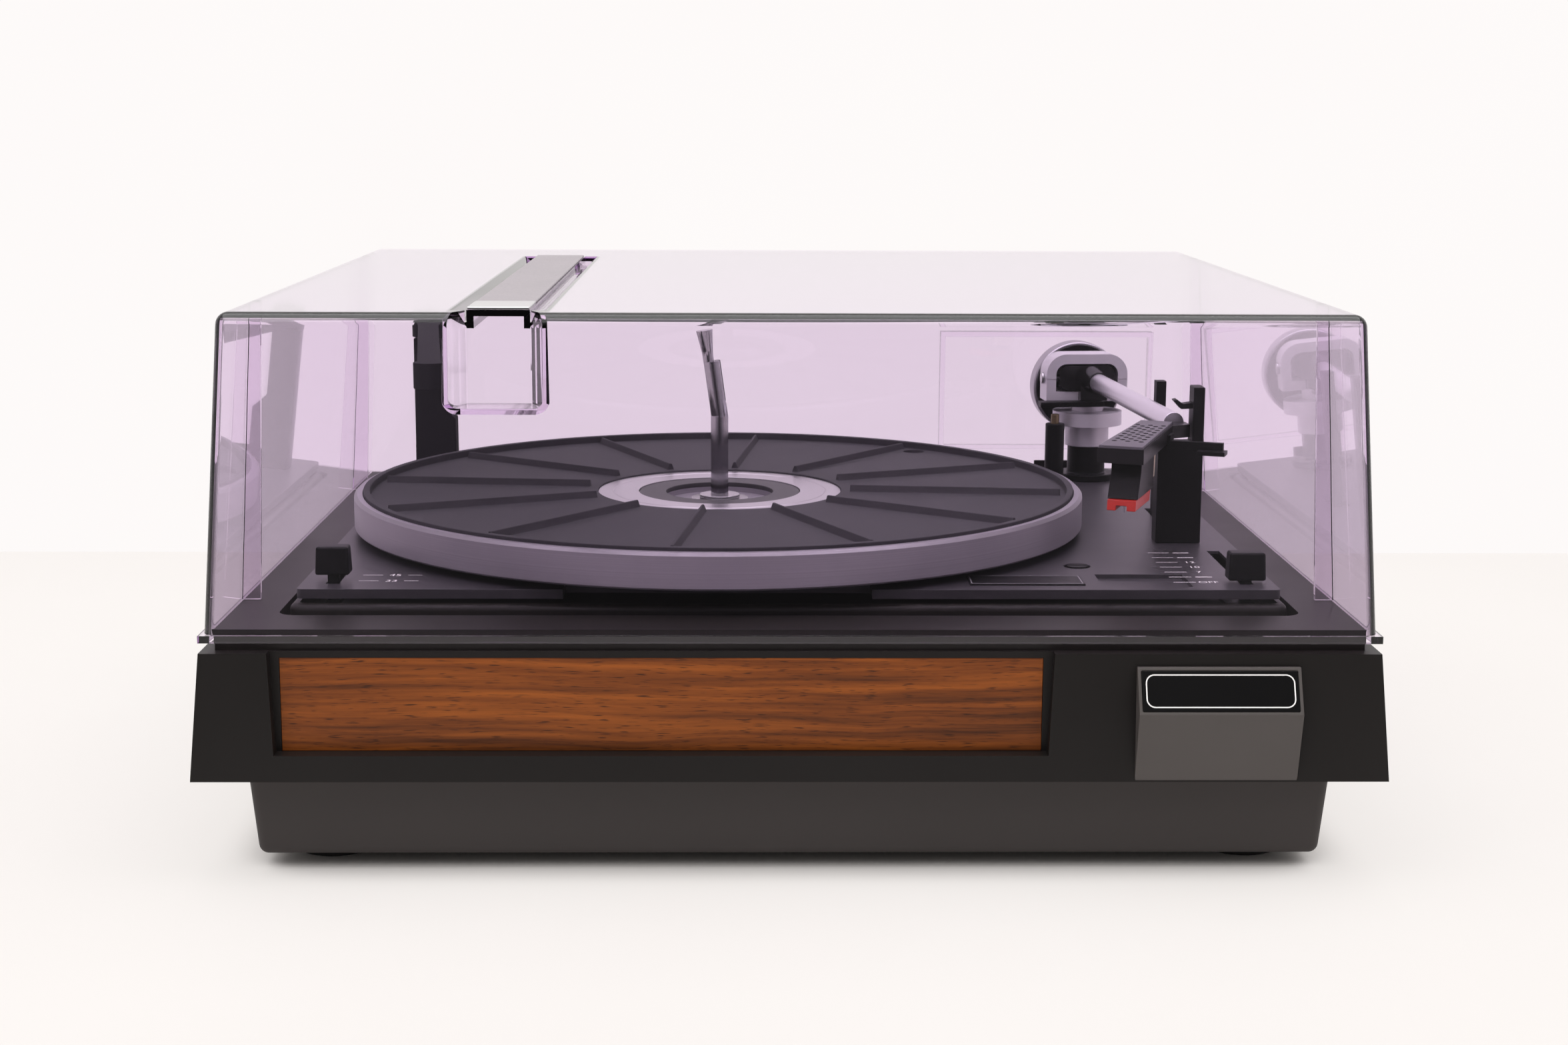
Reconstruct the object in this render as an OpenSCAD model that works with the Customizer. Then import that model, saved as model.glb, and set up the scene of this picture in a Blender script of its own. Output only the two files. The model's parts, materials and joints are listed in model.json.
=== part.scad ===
// Automatic record changer on a moulded plinth, with a hinged dust cover.
// Every module measures Y from the front bottom edge of the skirt and Z from the table.
// The origin lies on the table, under the middle of the whole object.

/* [Plinth] */
// Width of the plinth along the bottom edge of its skirt
skirt_w = 400; // [390:1:420]
// Depth of the plinth along the bottom edge of its skirt
skirt_d = 350; // [348:1:370]
// Height of the skirt
skirt_h = 43.1; // [42:0.1:48]
// How far each end of the skirt leans in
skirt_lean_x = 3.6; // [2:0.1:5]
// How far the front and the back of the skirt lean in
skirt_lean_y = 2.9; // [2:0.1:3.5]
// Wall of the plinth moulding
plinth_wall = 3; // [2.5:0.1:3.5]
// Height of the deck frame above the top of the skirt
frame_h = 7.1; // [6:0.1:8]
// Depth of the recess in the deck frame
recess_depth = 5; // [4:0.1:5.5]
// Height of the base pan from its floor to its flange
pan_h = 33; // [28:0.5:40]
// How far the pan stands back from the skirt at the front and the back
pan_inset = 15; // [12:0.5:20]
// Wall of the base pan
pan_wall = 2.5; // [2:0.1:3]
// Diameter of a rubber foot
foot_dia = 30; // [24:1:34]
// Height of a rubber foot
foot_h = 5; // [4:0.5:8]

/* [Front] */
// Gap between the skirt's left end and the walnut panel
panel_left = 29.5; // [28:0.5:34]
// Gap between the walnut panel and the skirt's right end
panel_right = 116.1; // [112:0.1:124]
// Height of the walnut panel
panel_h = 32; // [28:0.5:33]
// Thickness of the walnut panel
panel_t = 3; // [2:0.5:3.5]
// Width of the badge housing
badge_w = 54.6; // [48:0.2:58]
// Place of the badge housing's middle, in from the skirt's right end
badge_in = 58.2; // [54:0.1:60]
// How far the badge housing stands out in front of the skirt
badge_out = 6; // [4:0.2:8]
// Height of the badge housing's tilted face
badge_face_h = 14.6; // [12:0.2:15]

/* [Deck] */
// Gap between each end of the skirt and the unit plate
plate_side = 28.5; // [27.5:0.5:29.5]
// Gap between the skirt's front edge and the unit plate
plate_front = 45; // [44:0.5:46]
// Gap between the unit plate and the skirt's back edge
plate_back = 32; // [30:0.5:33]
// Sheet of the unit plate
plate_t = 1.2; // [1:0.1:1.5]
// Height of the unit plate's folded rim
plate_rim = 3.4; // [2.5:0.1:4]
// Height of the unit plate above the deck frame
plate_rise = 6; // [5:0.1:8]
// Gap between the unit plate and the sides of the recess
recess_gap = 4; // [3:0.2:4.5]
// Gap between the unit plate and the front of the recess
recess_gap_front = 14.5; // [8:0.5:15]
// Diameter of a suspension spring
spring_dia = 10; // [8:0.5:11]
// Diameter of a transit screw's head
transit_dia = 8.4; // [7:0.1:8.8]

/* [Platter] */
// Place of the platter's axis from the centre line
platter_x = -26; // [-27:0.1:-25]
// How far the platter's axis lies in front of the plinth's middle
platter_fore = 3.6; // [3:0.1:4]
// Diameter of the platter
platter_dia = 287.8; // [284:0.2:289]
// Height of the platter's rim
platter_h = 13.2; // [12.6:0.1:14]
// Gap between the unit plate and the platter's rim
platter_gap = 3; // [2.6:0.1:3.6]
// Diameter of the drum under the platter that the belt runs on
drum_dia = 158; // [154:0.5:160]
// Thickness of the mat between the platter and the record
mat_t = 2.8; // [2:0.1:3]
// Number of ribs on the mat
mat_ribs = 12; // [8:1:16]
// Width of a mat rib
rib_w = 3; // [2:0.1:4]
// Outer diameter of the bright trim ring
trim_dia = 96.6; // [90:0.2:100]
// Outer diameter of the dark ring inside the trim ring
hub_ring_dia = 64; // [58:0.5:70]
// Diameter of the well round the spindle
well_dia = 42.6; // [38:0.2:46]
// Diameter of the tube that the platter turns on
bearing_dia = 16; // [14:0.5:17]

/* [Drive] */
// Diameter of the motor
motor_dia = 56; // [50:1:60]
// Height of the motor
motor_h = 32; // [26:1:33]
// Place of the motor's axis to the left of the platter's axis
motor_x = 97; // [95:0.5:98]
// Place of the motor's axis behind the platter's axis
motor_y = 56; // [54:0.5:57]
// Diameter of the pulley's step for 33 turns a minute
pulley_dia = 17.4; // [16:0.1:18]
// Width of the flat belt
belt_w = 3.2; // [2.4:0.1:3.4]
// Thickness of the flat belt
belt_t = 0.7; // [0.5:0.1:1]
// Diameter of the cycle gear over its teeth
cycle_dia = 56; // [50:0.5:57]
// Number of teeth on the cycle gear
cycle_teeth = 56; // [40:4:64]

/* [Spindle] */
// Diameter of the spindle
spindle_dia = 7; // [6.8:0.05:7.2]
// Height of the bend above the unit plate
bend_h = 44; // [40:0.5:48]
// Length of the leaning stretch
lean_len = 22; // [20:0.5:24]
// Angle of the leaning stretch
lean_angle = 7.9; // [6:0.1:9]
// Height of the flared cap on the spindle
cap_h = 9.5; // [8:0.1:11]

/* [Overarm] */
// Place of the overarm's post, in from the unit plate's left edge
post_in = 14.5; // [13.5:0.5:16]
// Place of the overarm's post in front of the skirt's back edge
post_back = 60; // [56:0.5:64]
// Height of the overarm's post above the unit plate
post_h = 63; // [58:0.5:66]
// Length of the overarm
overarm_len = 158; // [140:1:160]

/* [Tonearm] */
// Place of the tonearm's pivot, in from the unit plate's right edge
pivot_in = 33.5; // [32:0.5:35]
// Place of the tonearm's pivot in front of the skirt's back edge
pivot_back = 60; // [58:0.5:62]
// Height of the tonearm's axis above the unit plate
arm_h = 45.6; // [45:0.1:47]
// Angle of the arm at rest, away from straight ahead
arm_angle = 4.5; // [4:0.1:5]
// Diameter of the arm tube
tube_dia = 8; // [7:0.1:8.4]
// Distance from the pivot to the end of the tube
tube_reach = 149; // [148:0.2:150]
// Width of the yoke
yoke_w = 36.5; // [35:0.5:38]
// Height of the yoke
yoke_h = 21; // [20.5:0.1:22]
// Band of the yoke
yoke_band = 4.3; // [3.5:0.1:4.6]
// Depth of the yoke
yoke_d = 14; // [12:0.5:14]
// Diameter of the pillar under the yoke
pillar_dia = 19.6; // [18:0.2:21]
// Diameter of the counterweight
weight_dia = 41; // [38:0.2:42]
// Length of the counterweight
weight_len = 10; // [8:0.5:14]
// Length of the headshell
head_len = 61; // [59:0.5:62]
// Width of the headshell at its front
head_w = 17; // [16:0.2:18]
// Width of the headshell at its back
head_w_back = 13.4; // [12.6:0.2:14]
// Height of the headshell
head_h = 6.5; // [6:0.1:7]
// Angle of the headshell, inwards from straight ahead
head_angle = 22; // [21:0.2:23]
// How far the headshell dips towards its front
head_dip = 1.4; // [0:0.1:1.6]

/* [Rest and cue] */
// Width of the arm rest
rest_w = 17.3; // [17:0.1:18]
// Depth of the arm rest
rest_d = 9.4; // [8:0.2:10]
// Height of the arm rest's upright above the unit plate
rest_h = 60.5; // [57:0.5:62]
// Diameter of the cue post
cue_dia = 8.4; // [7.5:0.1:9]
// Height of the cue post above the unit plate
cue_h = 26.8; // [24:0.2:27.4]
// Diameter of the cue pin
pin_dia = 3.6; // [3:0.1:4]
// Height of the cue lever above the unit plate
cue_lever_h = 55; // [45:1:58]

/* [Controls] */
// Width of the speed knob
speed_knob_w = 12.1; // [10:0.1:13]
// Width of the program knob
program_knob_w = 13.4; // [11:0.1:14]
// Height of the knobs
knob_h = 10; // [8:0.2:11]
// Travel of the speed lever
speed_travel = 21; // [15:0.5:24]
// Travel of the program lever
program_travel = 55; // [45:0.5:58]

/* [Dust cover] */
// How far the cover stands in from each end of the skirt's top edge
cover_in = 1.65; // [1.4:0.05:3]
// Height of the cover
cover_h = 108.3; // [104:0.5:115]
// Wall of the cover
cover_wall = 2.2; // [1.8:0.1:2.4]
// How far each side of the cover leans in
cover_lean = 6.5; // [5.5:0.1:7]
// Gap between the skirt and the cover's bottom edge
cover_gap = 3.9; // [3.7:0.1:4.2]
// Height of the lip along the cover's bottom edge
lip_h = 2.5; // [2:0.1:3]
// How far the lip stands out
lip_out = 1.2; // [0.8:0.1:1.4]
// Place of the grip's middle from the centre line
grip_x = -97.3; // [-100:0.1:-94]
// Width of the grip pocket
grip_w = 31; // [30:0.5:34]
// Height of the grip pocket
grip_h = 31; // [26:0.5:34]
// Depth of the grip pocket
grip_d = 12; // [10:0.5:13]
// Width of the land that carries the strip along the top
strip_w = 21; // [19:0.5:22]
// Diameter of the hinge barrels
barrel_dia = 6; // [5.4:0.1:6.2]

/* [Hidden] */
$fn = 64;

// Fits
run_fit = 0.05;
loose_fit = 0.3;
cut = 1;

// Heights, stacked from the table
pan_z = foot_h;
flange_z = pan_z + pan_h;
flange_t = 3;
skirt_lap = 1.8;
skirt_z0 = flange_z - skirt_lap;
skirt_z1 = skirt_z0 + skirt_h;
frame_z = skirt_z1 + frame_h;
ledge_z = frame_z - recess_depth;
plate_z = frame_z + plate_rise;
plate_under = plate_z - plate_t;
rim_z = plate_z + platter_gap;
rim_top = rim_z + platter_h;
web_sink = 4.4;
web_top = rim_top - web_sink;
web_t = 3;
web_under = web_top - web_t;
mat_z = web_top + mat_t;
mat_rise = 1.2;
record_z = rim_top + mat_rise;
arm_z = plate_z + arm_h;
cover_z0 = skirt_z1 + cover_gap;
cover_z1 = cover_z0 + cover_h;

// Places along Y
y_front = -(skirt_d - badge_out) / 2;
plate_d = skirt_d - plate_front - plate_back;
plate_y0 = plate_front;
plate_y1 = plate_y0 + plate_d;
platter_y = skirt_d / 2 - platter_fore;
post_y = skirt_d - post_back;
pivot_y = skirt_d - pivot_back;
recess_y0 = plate_y0 - recess_gap_front;
recess_gap_back = 7;
recess_y1 = plate_y1 + recess_gap_back;
cover_fore = 0.46;
cover_y0 = skirt_lean_y - cover_fore;
cover_d = skirt_d - 2 * cover_y0;
cover_y1 = cover_y0 + cover_d;
frame_gap = 4;
frame_y0 = cover_y0 + cover_wall + frame_gap;
frame_y1 = cover_y1 - cover_wall - frame_gap;
cover_fit = 0.6;

// Places along X
plate_w = skirt_w - 2 * plate_side;
cover_w = skirt_w - 2 * (skirt_lean_x + cover_in);
frame_hw = cover_w / 2 - cover_wall - cover_fit;
recess_hw = plate_w / 2 + recess_gap;
post_x = post_in - plate_w / 2;
pivot_x = plate_w / 2 - pivot_in;

// Opening in the recess floor that the motor hangs through, inside the ledge that stays
ledge_side = 17.5;
ledge_front = 69.5;
ledge_back = 29;
well_hw = recess_hw - ledge_side;
well_y0 = recess_y0 + ledge_front;
well_y1 = recess_y1 - ledge_back;
curb_out = 2.5;
curb_in = 0.8;
curb_gap = 1.6;
curb_z = plate_z - plate_rim - curb_gap;
motor_room = 4;

// Moves the modules' front-edge measure into the part's frame
module from_front() {
    translate([0, y_front, 0]) children();
}

// Block whose ends and sides lean in towards its top, Y from 0 to d
module lean_block(w, d, h, lean_x, lean_y) {
    intersection() {
        translate([0, d, 0]) rotate([90, 0, 0]) linear_extrude(d)
            polygon([[-w / 2, 0], [w / 2, 0], [w / 2 - lean_x, h], [-w / 2 + lean_x, h]]);
        translate([-w / 2, 0, 0]) rotate([90, 0, 90]) linear_extrude(w)
            polygon([[0, 0], [d, 0], [d - lean_y, h], [lean_y, h]]);
    }
}

// Rectangle from a corner, with round corners made of true arcs
module round_rect(w, d, r) {
    translate([r, 0]) square([w - 2 * r, d]);
    translate([0, r]) square([w, d - 2 * r]);
    for (x = [r, w - r], y = [r, d - r]) translate([x, y]) circle(r);
}

// Outline given as Y and Z, drawn out along X from x0 to x1
module along_x(x0, x1) {
    translate([x0, 0, 0]) rotate([90, 0, 90]) linear_extrude(x1 - x0) children();
}

// Outline given as X and Z, drawn out along Y from y0 to y1
module along_y(y0, y1) {
    translate([0, y1, 0]) rotate([90, 0, 0]) linear_extrude(y1 - y0) children();
}

// Plinth
panel_rise = 8.8;
panel_z = skirt_z0 + panel_rise;
recess_r = 6;
niche_y = 7;
niche_flare = 2.1;
niche_gap = 1.7;
niche_back = 3;
panel_w = skirt_w - panel_left - panel_right;
panel_x = panel_left + panel_w / 2 - skirt_w / 2;
panel_lap = 8;
boss_w = 8;
boss_in = 22;
boss_end_in = 9;
boss_spots = [for (x = [-1, 1], y = [boss_in, skirt_d / 2, skirt_d - boss_in])
    [x * (skirt_w / 2 - boss_end_in), y]];
transit_boss_r = 6;
transit_boss_h = 9;
hinge_in = 70;
hinge_spots = [hinge_in - skirt_w / 2, skirt_w / 2 - hinge_in];
barrel_r = barrel_dia / 2;
hinge_y = skirt_d - barrel_r - 0.1;
hinge_z = skirt_z1 + loose_fit;
hinge_w = 34;
hinge_base_d = 8.6;
hinge_base_h = 7.4;
hinge_wall = 3;
base_front = hinge_y - hinge_base_d;
base_back = hinge_y - barrel_r - 1;
base_z = hinge_z - hinge_base_h;
base_screw_r = 1.6;
base_screw_len = 14;

module plinth_shell() {
    color("#26262a") from_front() {
        difference() {
            union() {
                difference() {
                    union() {
                        translate([0, 0, skirt_z0])
                            lean_block(skirt_w, skirt_d, skirt_h, skirt_lean_x, skirt_lean_y);
                        translate([-frame_hw, frame_y0, skirt_z1 - cut])
                            cube([2 * frame_hw, frame_y1 - frame_y0, frame_h + cut]);
                    }
                    plinth_cavity();
                }
                plinth_back_walls();
            }
            panel_niche();
            translate([-recess_hw, recess_y0, ledge_z]) linear_extrude(frame_h)
                round_rect(2 * recess_hw, recess_y1 - recess_y0, recess_r);
            translate([-well_hw, well_y0, skirt_z0])
                cube([2 * well_hw, well_y1 - well_y0, skirt_h + frame_h]);
            translate([motor_spot.x, motor_spot.y, skirt_z0])
                cylinder(h = skirt_h + frame_h, r = motor_dia / 2 + motor_room);
            for (p = boss_spots) translate([p.x, p.y, flange_z])
                cylinder(h = base_screw_len + 2 * cut, r = base_screw_r);
            for (x = hinge_spots) translate([x - hinge_w / 2, base_front, base_z])
                cube([hinge_w, skirt_d - base_front + cut, hinge_z - base_z + cut]);
            for (p = transit_spots) translate([p.x, p.y, ledge_z - transit_boss_h + cut])
                cylinder(h = transit_boss_h, r = transit_shank_r + run_fit);
        }
        plinth_curb();
    }
}

// Curb in the recess, below the edge of the deck plate
module plinth_curb() {
    outer = [plate_w + 2 * curb_out, plate_d + 2 * curb_out];
    inner = [plate_w - 2 * curb_in, plate_d - 2 * curb_in];
    h = curb_z - ledge_z + cut;
    translate([0, plate_y0 + plate_d / 2, ledge_z - cut]) linear_extrude(h) difference() {
        translate(-outer / 2) round_rect(outer.x, outer.y, plate_corner_r + curb_out);
        translate(-inner / 2) round_rect(inner.x, inner.y, plate_corner_r);
    }
}

module plinth_cavity() {
    h = skirt_h - plinth_wall;
    share = h / skirt_h;
    translate([0, plinth_wall, skirt_z0])
        lean_block(skirt_w - 2 * plinth_wall, skirt_d - 2 * plinth_wall, h,
            skirt_lean_x * share, skirt_lean_y * share);
    translate([0, plinth_wall, skirt_z0 - cut])
        translate([-(skirt_w / 2 - plinth_wall), 0, 0])
            cube([skirt_w - 2 * plinth_wall, skirt_d - 2 * plinth_wall, 2 * cut]);
}

// Walls inside the skirt: behind the panel, under the recess, at the hinges, and the screw posts
module plinth_back_walls() {
    back_y = niche_y + panel_t + niche_back;
    translate([panel_x - panel_w / 2 - panel_lap, plinth_wall, flange_z + flange_t + loose_fit])
        cube([panel_w + 2 * panel_lap, back_y - plinth_wall, skirt_z1 - flange_z - flange_t - 2 * loose_fit]);
    translate([-recess_hw - plinth_wall, recess_y0 - plinth_wall, ledge_z - plinth_wall])
        cube([2 * (recess_hw + plinth_wall), recess_y1 - recess_y0 + 2 * plinth_wall, plinth_wall + cut]);
    for (x = hinge_spots)
        translate([x - hinge_w / 2 - hinge_wall, base_front - hinge_wall, base_z - 2 * hinge_wall])
            cube([hinge_w + 2 * hinge_wall, cover_y1 - base_front + hinge_wall - plinth_wall,
                skirt_z1 - base_z + 2 * hinge_wall - cut]);
    for (p = boss_spots) translate([p.x - boss_w / 2, p.y - boss_w / 2, flange_z + flange_t])
        cube([boss_w, boss_w, skirt_z1 - flange_z - flange_t - cut]);
    for (p = transit_spots) translate([p.x, p.y, ledge_z - transit_boss_h])
        cylinder(h = transit_boss_h + cut / 2, r = transit_boss_r);
}

// Front niche: open at the top between the two end blocks, with a pocket for the panel
module panel_niche() {
    x0 = panel_x - panel_w / 2;
    x1 = panel_x + panel_w / 2;
    top = skirt_z1 + frame_h + cut;
    flare = niche_flare * (top - panel_z) / skirt_h;
    along_y(-cut, niche_y) polygon([[x0 - niche_gap, panel_z], [x1 + niche_gap, panel_z],
        [x1 + niche_gap + flare, top], [x0 - niche_gap - flare, top]]);
    translate([x0 - run_fit, niche_y - cut, panel_z])
        cube([panel_w + 2 * run_fit, panel_t + cut + run_fit, panel_h + run_fit]);
}

module wood_panel() {
    color("#7a4526") from_front() translate([panel_x - panel_w / 2, niche_y, panel_z])
        cube([panel_w, panel_t, panel_h]);
}

// Base pan
pan_end_inset = 15.2;
pan_hw = skirt_w / 2 - pan_end_inset;
pan_lean = 2.5;
pan_edge_r = 3.5;
flange_fit = 0.6;
foot_in = 30;
foot_end_in = 25;
foot_spots = [for (x = [-1, 1], y = [pan_inset + foot_in, skirt_d - pan_inset - foot_in])
    [x * (pan_hw - foot_end_in), y]];
foot_screw_r = 2;
foot_bore_h = 2.2;
foot_taper = 1;
screw_head_t = 1.5;
gland_r = 5;
gland_lip = 1.6;
gland_in = [64.8, 36.8];
gland_spots = [for (x = gland_in) pan_hw - x];
gland_z = pan_z + pan_h / 2;
pan_back = skirt_d - pan_inset;

// Solid tub shape, smaller all round by the inset
module pan_form(inset, top) {
    r = pan_edge_r;
    hull() {
        for (x = [-1, 1], s = [0, 1]) {
            y_low = s == 0 ? pan_inset + pan_lean + inset + r : pan_back - pan_lean - inset - r;
            y_high = s == 0 ? pan_inset + inset + r : pan_back - inset - r;
            translate([x * (pan_hw - pan_lean - inset - r), y_low, pan_z + inset + r]) sphere(r, $fn = 32);
            translate([x * (pan_hw - inset - r), y_high, flange_z]) cylinder(h = top, r = r, $fn = 32);
        }
    }
}

module base_pan() {
    x = skirt_w / 2 - plinth_wall - flange_fit;
    y = plinth_wall + flange_fit;
    color("#3a3a3c") from_front() difference() {
        union() {
            pan_form(0, cut);
            translate([-x, y, flange_z]) cube([2 * x, skirt_d - 2 * y, flange_t]);
        }
        pan_form(pan_wall, flange_t + cut);
        for (p = foot_spots) translate([p.x, p.y, 0]) cylinder(h = pan_h, r = foot_screw_r + run_fit);
        for (p = boss_spots) translate([p.x, p.y, flange_z - cut])
            cylinder(h = flange_t + 2 * cut, r = base_screw_r + run_fit);
        for (gx = gland_spots) translate([gx, pan_back, gland_z]) rotate([-90, 0, 0])
            cylinder(h = 2 * gland_r, r = gland_r, center = true);
    }
}

module rubber_feet() {
    color("#161616") from_front() for (p = foot_spots) translate([p.x, p.y, 0]) difference() {
        cylinder(h = foot_h, r1 = foot_dia / 2 - foot_taper, r2 = foot_dia / 2);
        translate([0, 0, -cut]) cylinder(h = foot_h + 2 * cut, r = foot_screw_r + run_fit);
        translate([0, 0, -cut]) cylinder(h = foot_bore_h + cut, r = 2 * foot_screw_r + loose_fit);
    }
}

module foot_screws() {
    color("silver") from_front() for (p = foot_spots) translate([p.x, p.y, 0]) {
        translate([0, 0, foot_bore_h - screw_head_t]) cylinder(h = screw_head_t, r = 2 * foot_screw_r);
        translate([0, 0, foot_bore_h - cut]) cylinder(h = foot_h + pan_wall + 4, r = foot_screw_r);
    }
}

module base_screws() {
    color("silver") from_front() for (p = boss_spots) translate([p.x, p.y, 0]) {
        translate([0, 0, flange_z - screw_head_t]) cylinder(h = screw_head_t, r = 2 * base_screw_r);
        translate([0, 0, flange_z - cut]) cylinder(h = base_screw_len, r = base_screw_r - run_fit);
    }
}

// Rubber grommets for the cords: a neck through the pan's wall between two lips
module cable_grommets() {
    inner = pan_back - pan_lean - pan_wall - gland_lip - loose_fit;
    neck = pan_lean + pan_wall + gland_lip + 2 * loose_fit;
    color("#101010") from_front() for (gx = gland_spots)
        translate([gx, inner, gland_z]) rotate([-90, 0, 0]) difference() {
            union() {
                cylinder(h = gland_lip, r = gland_r + gland_lip);
                cylinder(h = neck + gland_lip, r = gland_r - run_fit);
                translate([0, 0, neck]) cylinder(h = gland_lip, r = gland_r + gland_lip);
            }
            translate([0, 0, -cut]) cylinder(h = neck + gland_lip + 2 * cut, r = gland_r - 2);
        }
}

// Badge: a wedge on the skirt's face, with a tilted face for the bare plate
badge_x = skirt_w / 2 - badge_in;
badge_drop = 4;
badge_top = skirt_z1 - badge_drop;
badge_face_z = badge_top - badge_face_h;
badge_face_back = 7.2;
badge_tilt = atan2(badge_face_back, badge_face_h);
badge_face_len = norm([badge_face_back, badge_face_h]);
badge_edge = 1.2;
name_t = 0.8;
name_sink = 0.6;
function skirt_face(z) = skirt_lean_y * (z - skirt_z0) / skirt_h;

module name_plate_spot() {
    translate([badge_x, -badge_out, badge_face_z]) rotate([-badge_tilt, 0, 0]) children();
}

module badge_housing() {
    low = skirt_z0 + 0.4;
    color("#434345") from_front() difference() {
        along_x(badge_x - badge_w / 2, badge_x + badge_w / 2) polygon([[skirt_face(low), low],
            [-badge_out, badge_face_z], [badge_face_back - badge_out, badge_top],
            [skirt_face(badge_top), badge_top]]);
        name_plate_spot() translate([-badge_w / 2 + badge_edge, -cut, badge_edge])
            cube([badge_w - 2 * badge_edge, name_sink + cut, badge_face_len - 2 * badge_edge]);
    }
}

module name_plate() {
    edge = badge_edge + run_fit;
    color("#050506") from_front() name_plate_spot() translate([-badge_w / 2 + edge, name_sink - name_t, edge])
        cube([badge_w - 2 * edge, name_t, badge_face_len - 2 * edge]);
}

// Deck plate and what it stands on
notch_w = 107.5;
notch_shift = 0.75;
notch_x0 = platter_x + notch_shift - notch_w / 2;
notch_d = 10;
plate_corner_r = 2;
spring_spots = [[-1, plate_y0 + 145], [1, plate_y0 + 105], [-1, plate_y1 - 12], [1, plate_y1 - 12]];
spring_in = 0.8;
spring_x = plate_w / 2 - plate_t - spring_dia / 2 - spring_in;
spring_wire = 0.7;
transit_spots = [[plate_w / 2 - 65.7, plate_y0 + 42], [71.5 - plate_w / 2, plate_y1 - 10]];
transit_shank_r = 2.5;
transit_play = 0.7;
transit_hole_r = transit_dia / 2 + transit_play;
transit_head = 1.6;
transit_sink = 1.5;
transit_end = 7;
screw_slot = [1.2, 0.9];
label_spot = [plate_w / 2 - 108.2, plate_y0 + 7.3];
label_size = [40.7, 15.1];
label_t = 0.5;
dimple_spot = [plate_w / 2 - 61.5, plate_y0 + 5];
dimple_size = [31.6, 22];
dimple_depth = 1.6;
motor_spot = [platter_x - motor_x, platter_y + motor_y];
shaft_r = 1.6;
shaft_room = 4;
bearing_r = bearing_dia / 2;
spindle_r = spindle_dia / 2;
pinion_r = 17;
cycle_angle = -60;
cycle_clear = 0.5;
cycle_dist = pinion_r + cycle_dia / 2 + cycle_clear;
cycle_spot = [platter_x + cycle_dist * cos(cycle_angle), platter_y + cycle_dist * sin(cycle_angle)];
stud_r = 3;
stud_gap = 1;
speed_x = -plate_w / 2 + 11;
speed_y = plate_y0 + 13;
program_x = plate_w / 2 - 10;
program_y = plate_y0 + 13;
stem_w = 4;
stem_d = 3;
slot_w = stem_w + 2 * loose_fit;
slot_end = 2;

module plate_outline(inset) {
    difference() {
        translate([-plate_w / 2 + inset, plate_y0 + inset])
            round_rect(plate_w - 2 * inset, plate_d - 2 * inset, plate_corner_r);
        translate([notch_x0 - inset, plate_y0 - cut])
            square([notch_w + 2 * inset, notch_d + inset + cut]);
    }
}

// Slot for a lever whose stem stands at y and travels backwards
module lever_slot(x, y, travel) {
    translate([x - slot_w / 2, y - stem_d / 2 - slot_end]) square([slot_w, travel + stem_d + 2 * slot_end]);
}

module unit_plate() {
    color("#2b2a2e") from_front() {
        difference() {
            union() {
                translate([0, 0, plate_under]) linear_extrude(plate_t) plate_outline(0);
                translate([0, 0, plate_z - plate_rim]) linear_extrude(plate_rim) difference() {
                    plate_outline(0);
                    plate_outline(plate_t);
                }
                translate([dimple_spot.x - plate_t, dimple_spot.y - plate_t, plate_under - dimple_depth])
                    cube([dimple_size.x + 2 * plate_t, dimple_size.y + 2 * plate_t,
                        dimple_depth + plate_t / 2]);
            }
            translate([0, 0, plate_under - cut]) linear_extrude(plate_t + 2 * cut) {
                translate([platter_x, platter_y]) circle(bearing_r + run_fit);
                translate(motor_spot) circle(shaft_r + shaft_room);
                translate(cue_spot) circle(pin_dia / 2 + run_fit);
                translate(cue_lever_spot - cue_slot / 2) square(cue_slot);
                lever_slot(speed_x, speed_y, speed_travel);
                lever_slot(program_x, program_y, program_travel);
                for (p = transit_spots) translate(p) circle(transit_hole_r);
            }
            translate([dimple_spot.x, dimple_spot.y, plate_z - dimple_depth])
                cube([dimple_size.x, dimple_size.y, dimple_depth + cut]);
        }
        translate([cycle_spot.x, cycle_spot.y, plate_under])
            cylinder(h = web_under - plate_under - stud_gap, r = stud_r);
        cue_ears();
    }
}

module suspension_springs() {
    h = plate_under - ledge_z;
    r = spring_dia / 2;
    color("silver") from_front() for (p = spring_spots) translate([p.x * spring_x, p.y, ledge_z])
        difference() {
            cylinder(h = h, r = r);
            translate([0, 0, -cut]) cylinder(h = h + 2 * cut, r = r - spring_wire);
        }
}

module transit_screws() {
    color("silver") from_front() for (p = transit_spots) translate([p.x, p.y, plate_under]) difference() {
        union() {
            translate([0, 0, -transit_sink]) cylinder(h = transit_head + transit_sink, r = transit_dia / 2);
            translate([0, 0, ledge_z - transit_end - plate_under])
                cylinder(h = plate_under - ledge_z + transit_end, r = transit_shank_r);
        }
        translate([-transit_dia, -screw_slot.x / 2, transit_head - screw_slot.y])
            cube([2 * transit_dia, screw_slot.x, 2 * screw_slot.y]);
    }
}

module label_plate() {
    color("#1c1b1e") from_front() translate([label_spot.x, label_spot.y, plate_z])
        cube([label_size.x, label_size.y, label_t]);
}

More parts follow.
